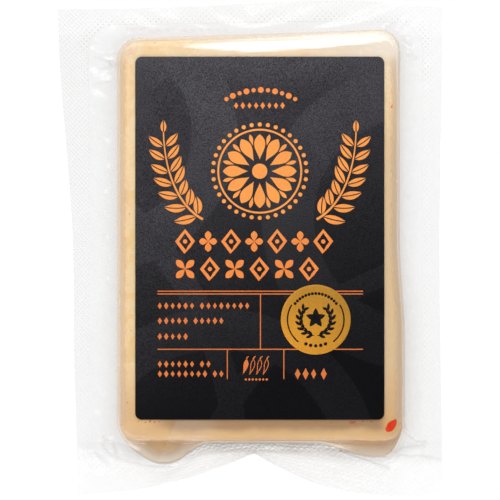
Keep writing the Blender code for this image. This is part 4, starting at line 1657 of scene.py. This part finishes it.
def pale_floor(scene):
    """A wide floor that shows as plain white, and lights the pack from below."""
    corners = [(-1, -1), (1, -1), (1, 1), (-1, 1)]
    mesh = bpy.data.meshes.new("floor")
    mesh.from_pydata([(x * FLOOR_HALF, y * FLOOR_HALF, 0) for x, y in corners], [], [(0, 1, 2, 3)])
    floor = bpy.data.objects.new("floor", mesh)
    scene.collection.objects.link(floor)
    floor.location.z = -FLOOR_DROP
    material, _, shader = new_material("Pale floor")
    shader.inputs["Base Color"].default_value = (0.03, 0.03, 0.03, 1)
    shader.inputs["Roughness"].default_value = 0.9
    shader.inputs["Specular IOR Level"].default_value = 0.0
    shader.inputs["Emission Color"].default_value = (1, 1, 1, 1)
    shader.inputs["Emission Strength"].default_value = 0.99
    mesh.materials.append(material)


def studio_sky(scene):
    """A sky that is bright low down and dim overhead."""
    world = bpy.data.worlds.new("Studio")
    scene.world = world
    world.use_nodes = True
    sky = Nodes(world.node_tree)
    up = sky.split(sky.add("ShaderNodeTexCoord").outputs["Generated"])[2]
    background = world.node_tree.nodes["Background"]
    background.inputs["Color"].default_value = (1, 1, 1, 1)
    sky.set(background.inputs["Strength"], sky.fade(up, 0.45, 0.92, 0.8, 0.07))


def overhead_camera(scene):
    """A camera that looks straight down, and takes in what the photograph does."""
    camera = bpy.data.cameras.new("camera")
    camera.lens = 500.0
    camera.clip_end = 50.0
    viewer = bpy.data.objects.new("camera", camera)
    scene.collection.objects.link(viewer)
    half = PICTURE_PIXELS / 2
    flat = ((half - PICTURE_MIDDLE[0]) * PIXEL, (PICTURE_MIDDLE[1] - half) * PIXEL)
    middle = place(np.array((*flat, FOLD_HEIGHT)))
    distance = PICTURE_PIXELS * PIXEL * MM * camera.lens / camera.sensor_width
    viewer.location = (middle[0], middle[1], middle[2] + distance)
    scene.camera = viewer


class HALLOUMI_OT_stage(bpy.types.Operator):
    """Build the floor, the lights and the camera that looks straight down"""

    bl_idname = "halloumi.stage"
    bl_label = "Stage"

    def execute(self, context):
        context.scene.view_settings.view_transform = "Standard"
        pale_floor(context.scene)
        studio_sky(context.scene)
        for name, values in LIGHTS.items():
            area_light(name, *values)
        overhead_camera(context.scene)
        return {"FINISHED"}


class HALLOUMI_PT_panel(bpy.types.Panel):
    """Lists the pack's pieces, sizes and colours"""

    bl_label = "Halloumi pack"
    bl_idname = "HALLOUMI_PT_panel"
    bl_space_type = "VIEW_3D"
    bl_region_type = "UI"
    bl_category = "Halloumi"

    def draw(self, context):
        for group in (context.scene.halloumi_sizes, context.scene.halloumi_colours):
            box = self.layout.box()
            for name in group.__annotations__:
                box.prop(group, name)
        for operator in OPERATORS:
            self.layout.operator(operator.bl_idname)


OPERATORS = (
    HALLOUMI_OT_cheese,
    HALLOUMI_OT_film,
    HALLOUMI_OT_label,
    HALLOUMI_OT_sticker,
    HALLOUMI_OT_stage,
)
CLASSES = (HalloumiSizes, HalloumiColours, *OPERATORS, HALLOUMI_PT_panel)


def register():
    for cls in CLASSES:
        bpy.utils.register_class(cls)
    bpy.types.Scene.halloumi_sizes = PointerProperty(type=HalloumiSizes)
    bpy.types.Scene.halloumi_colours = PointerProperty(type=HalloumiColours)


def unregister():
    del bpy.types.Scene.halloumi_colours
    del bpy.types.Scene.halloumi_sizes
    for cls in reversed(CLASSES):
        bpy.utils.unregister_class(cls)


def main():
    register()
    bpy.ops.halloumi.cheese()
    bpy.ops.halloumi.film()
    bpy.ops.halloumi.label()
    bpy.ops.halloumi.sticker()
    bpy.ops.halloumi.stage()


if __name__ == "__main__":
    main()
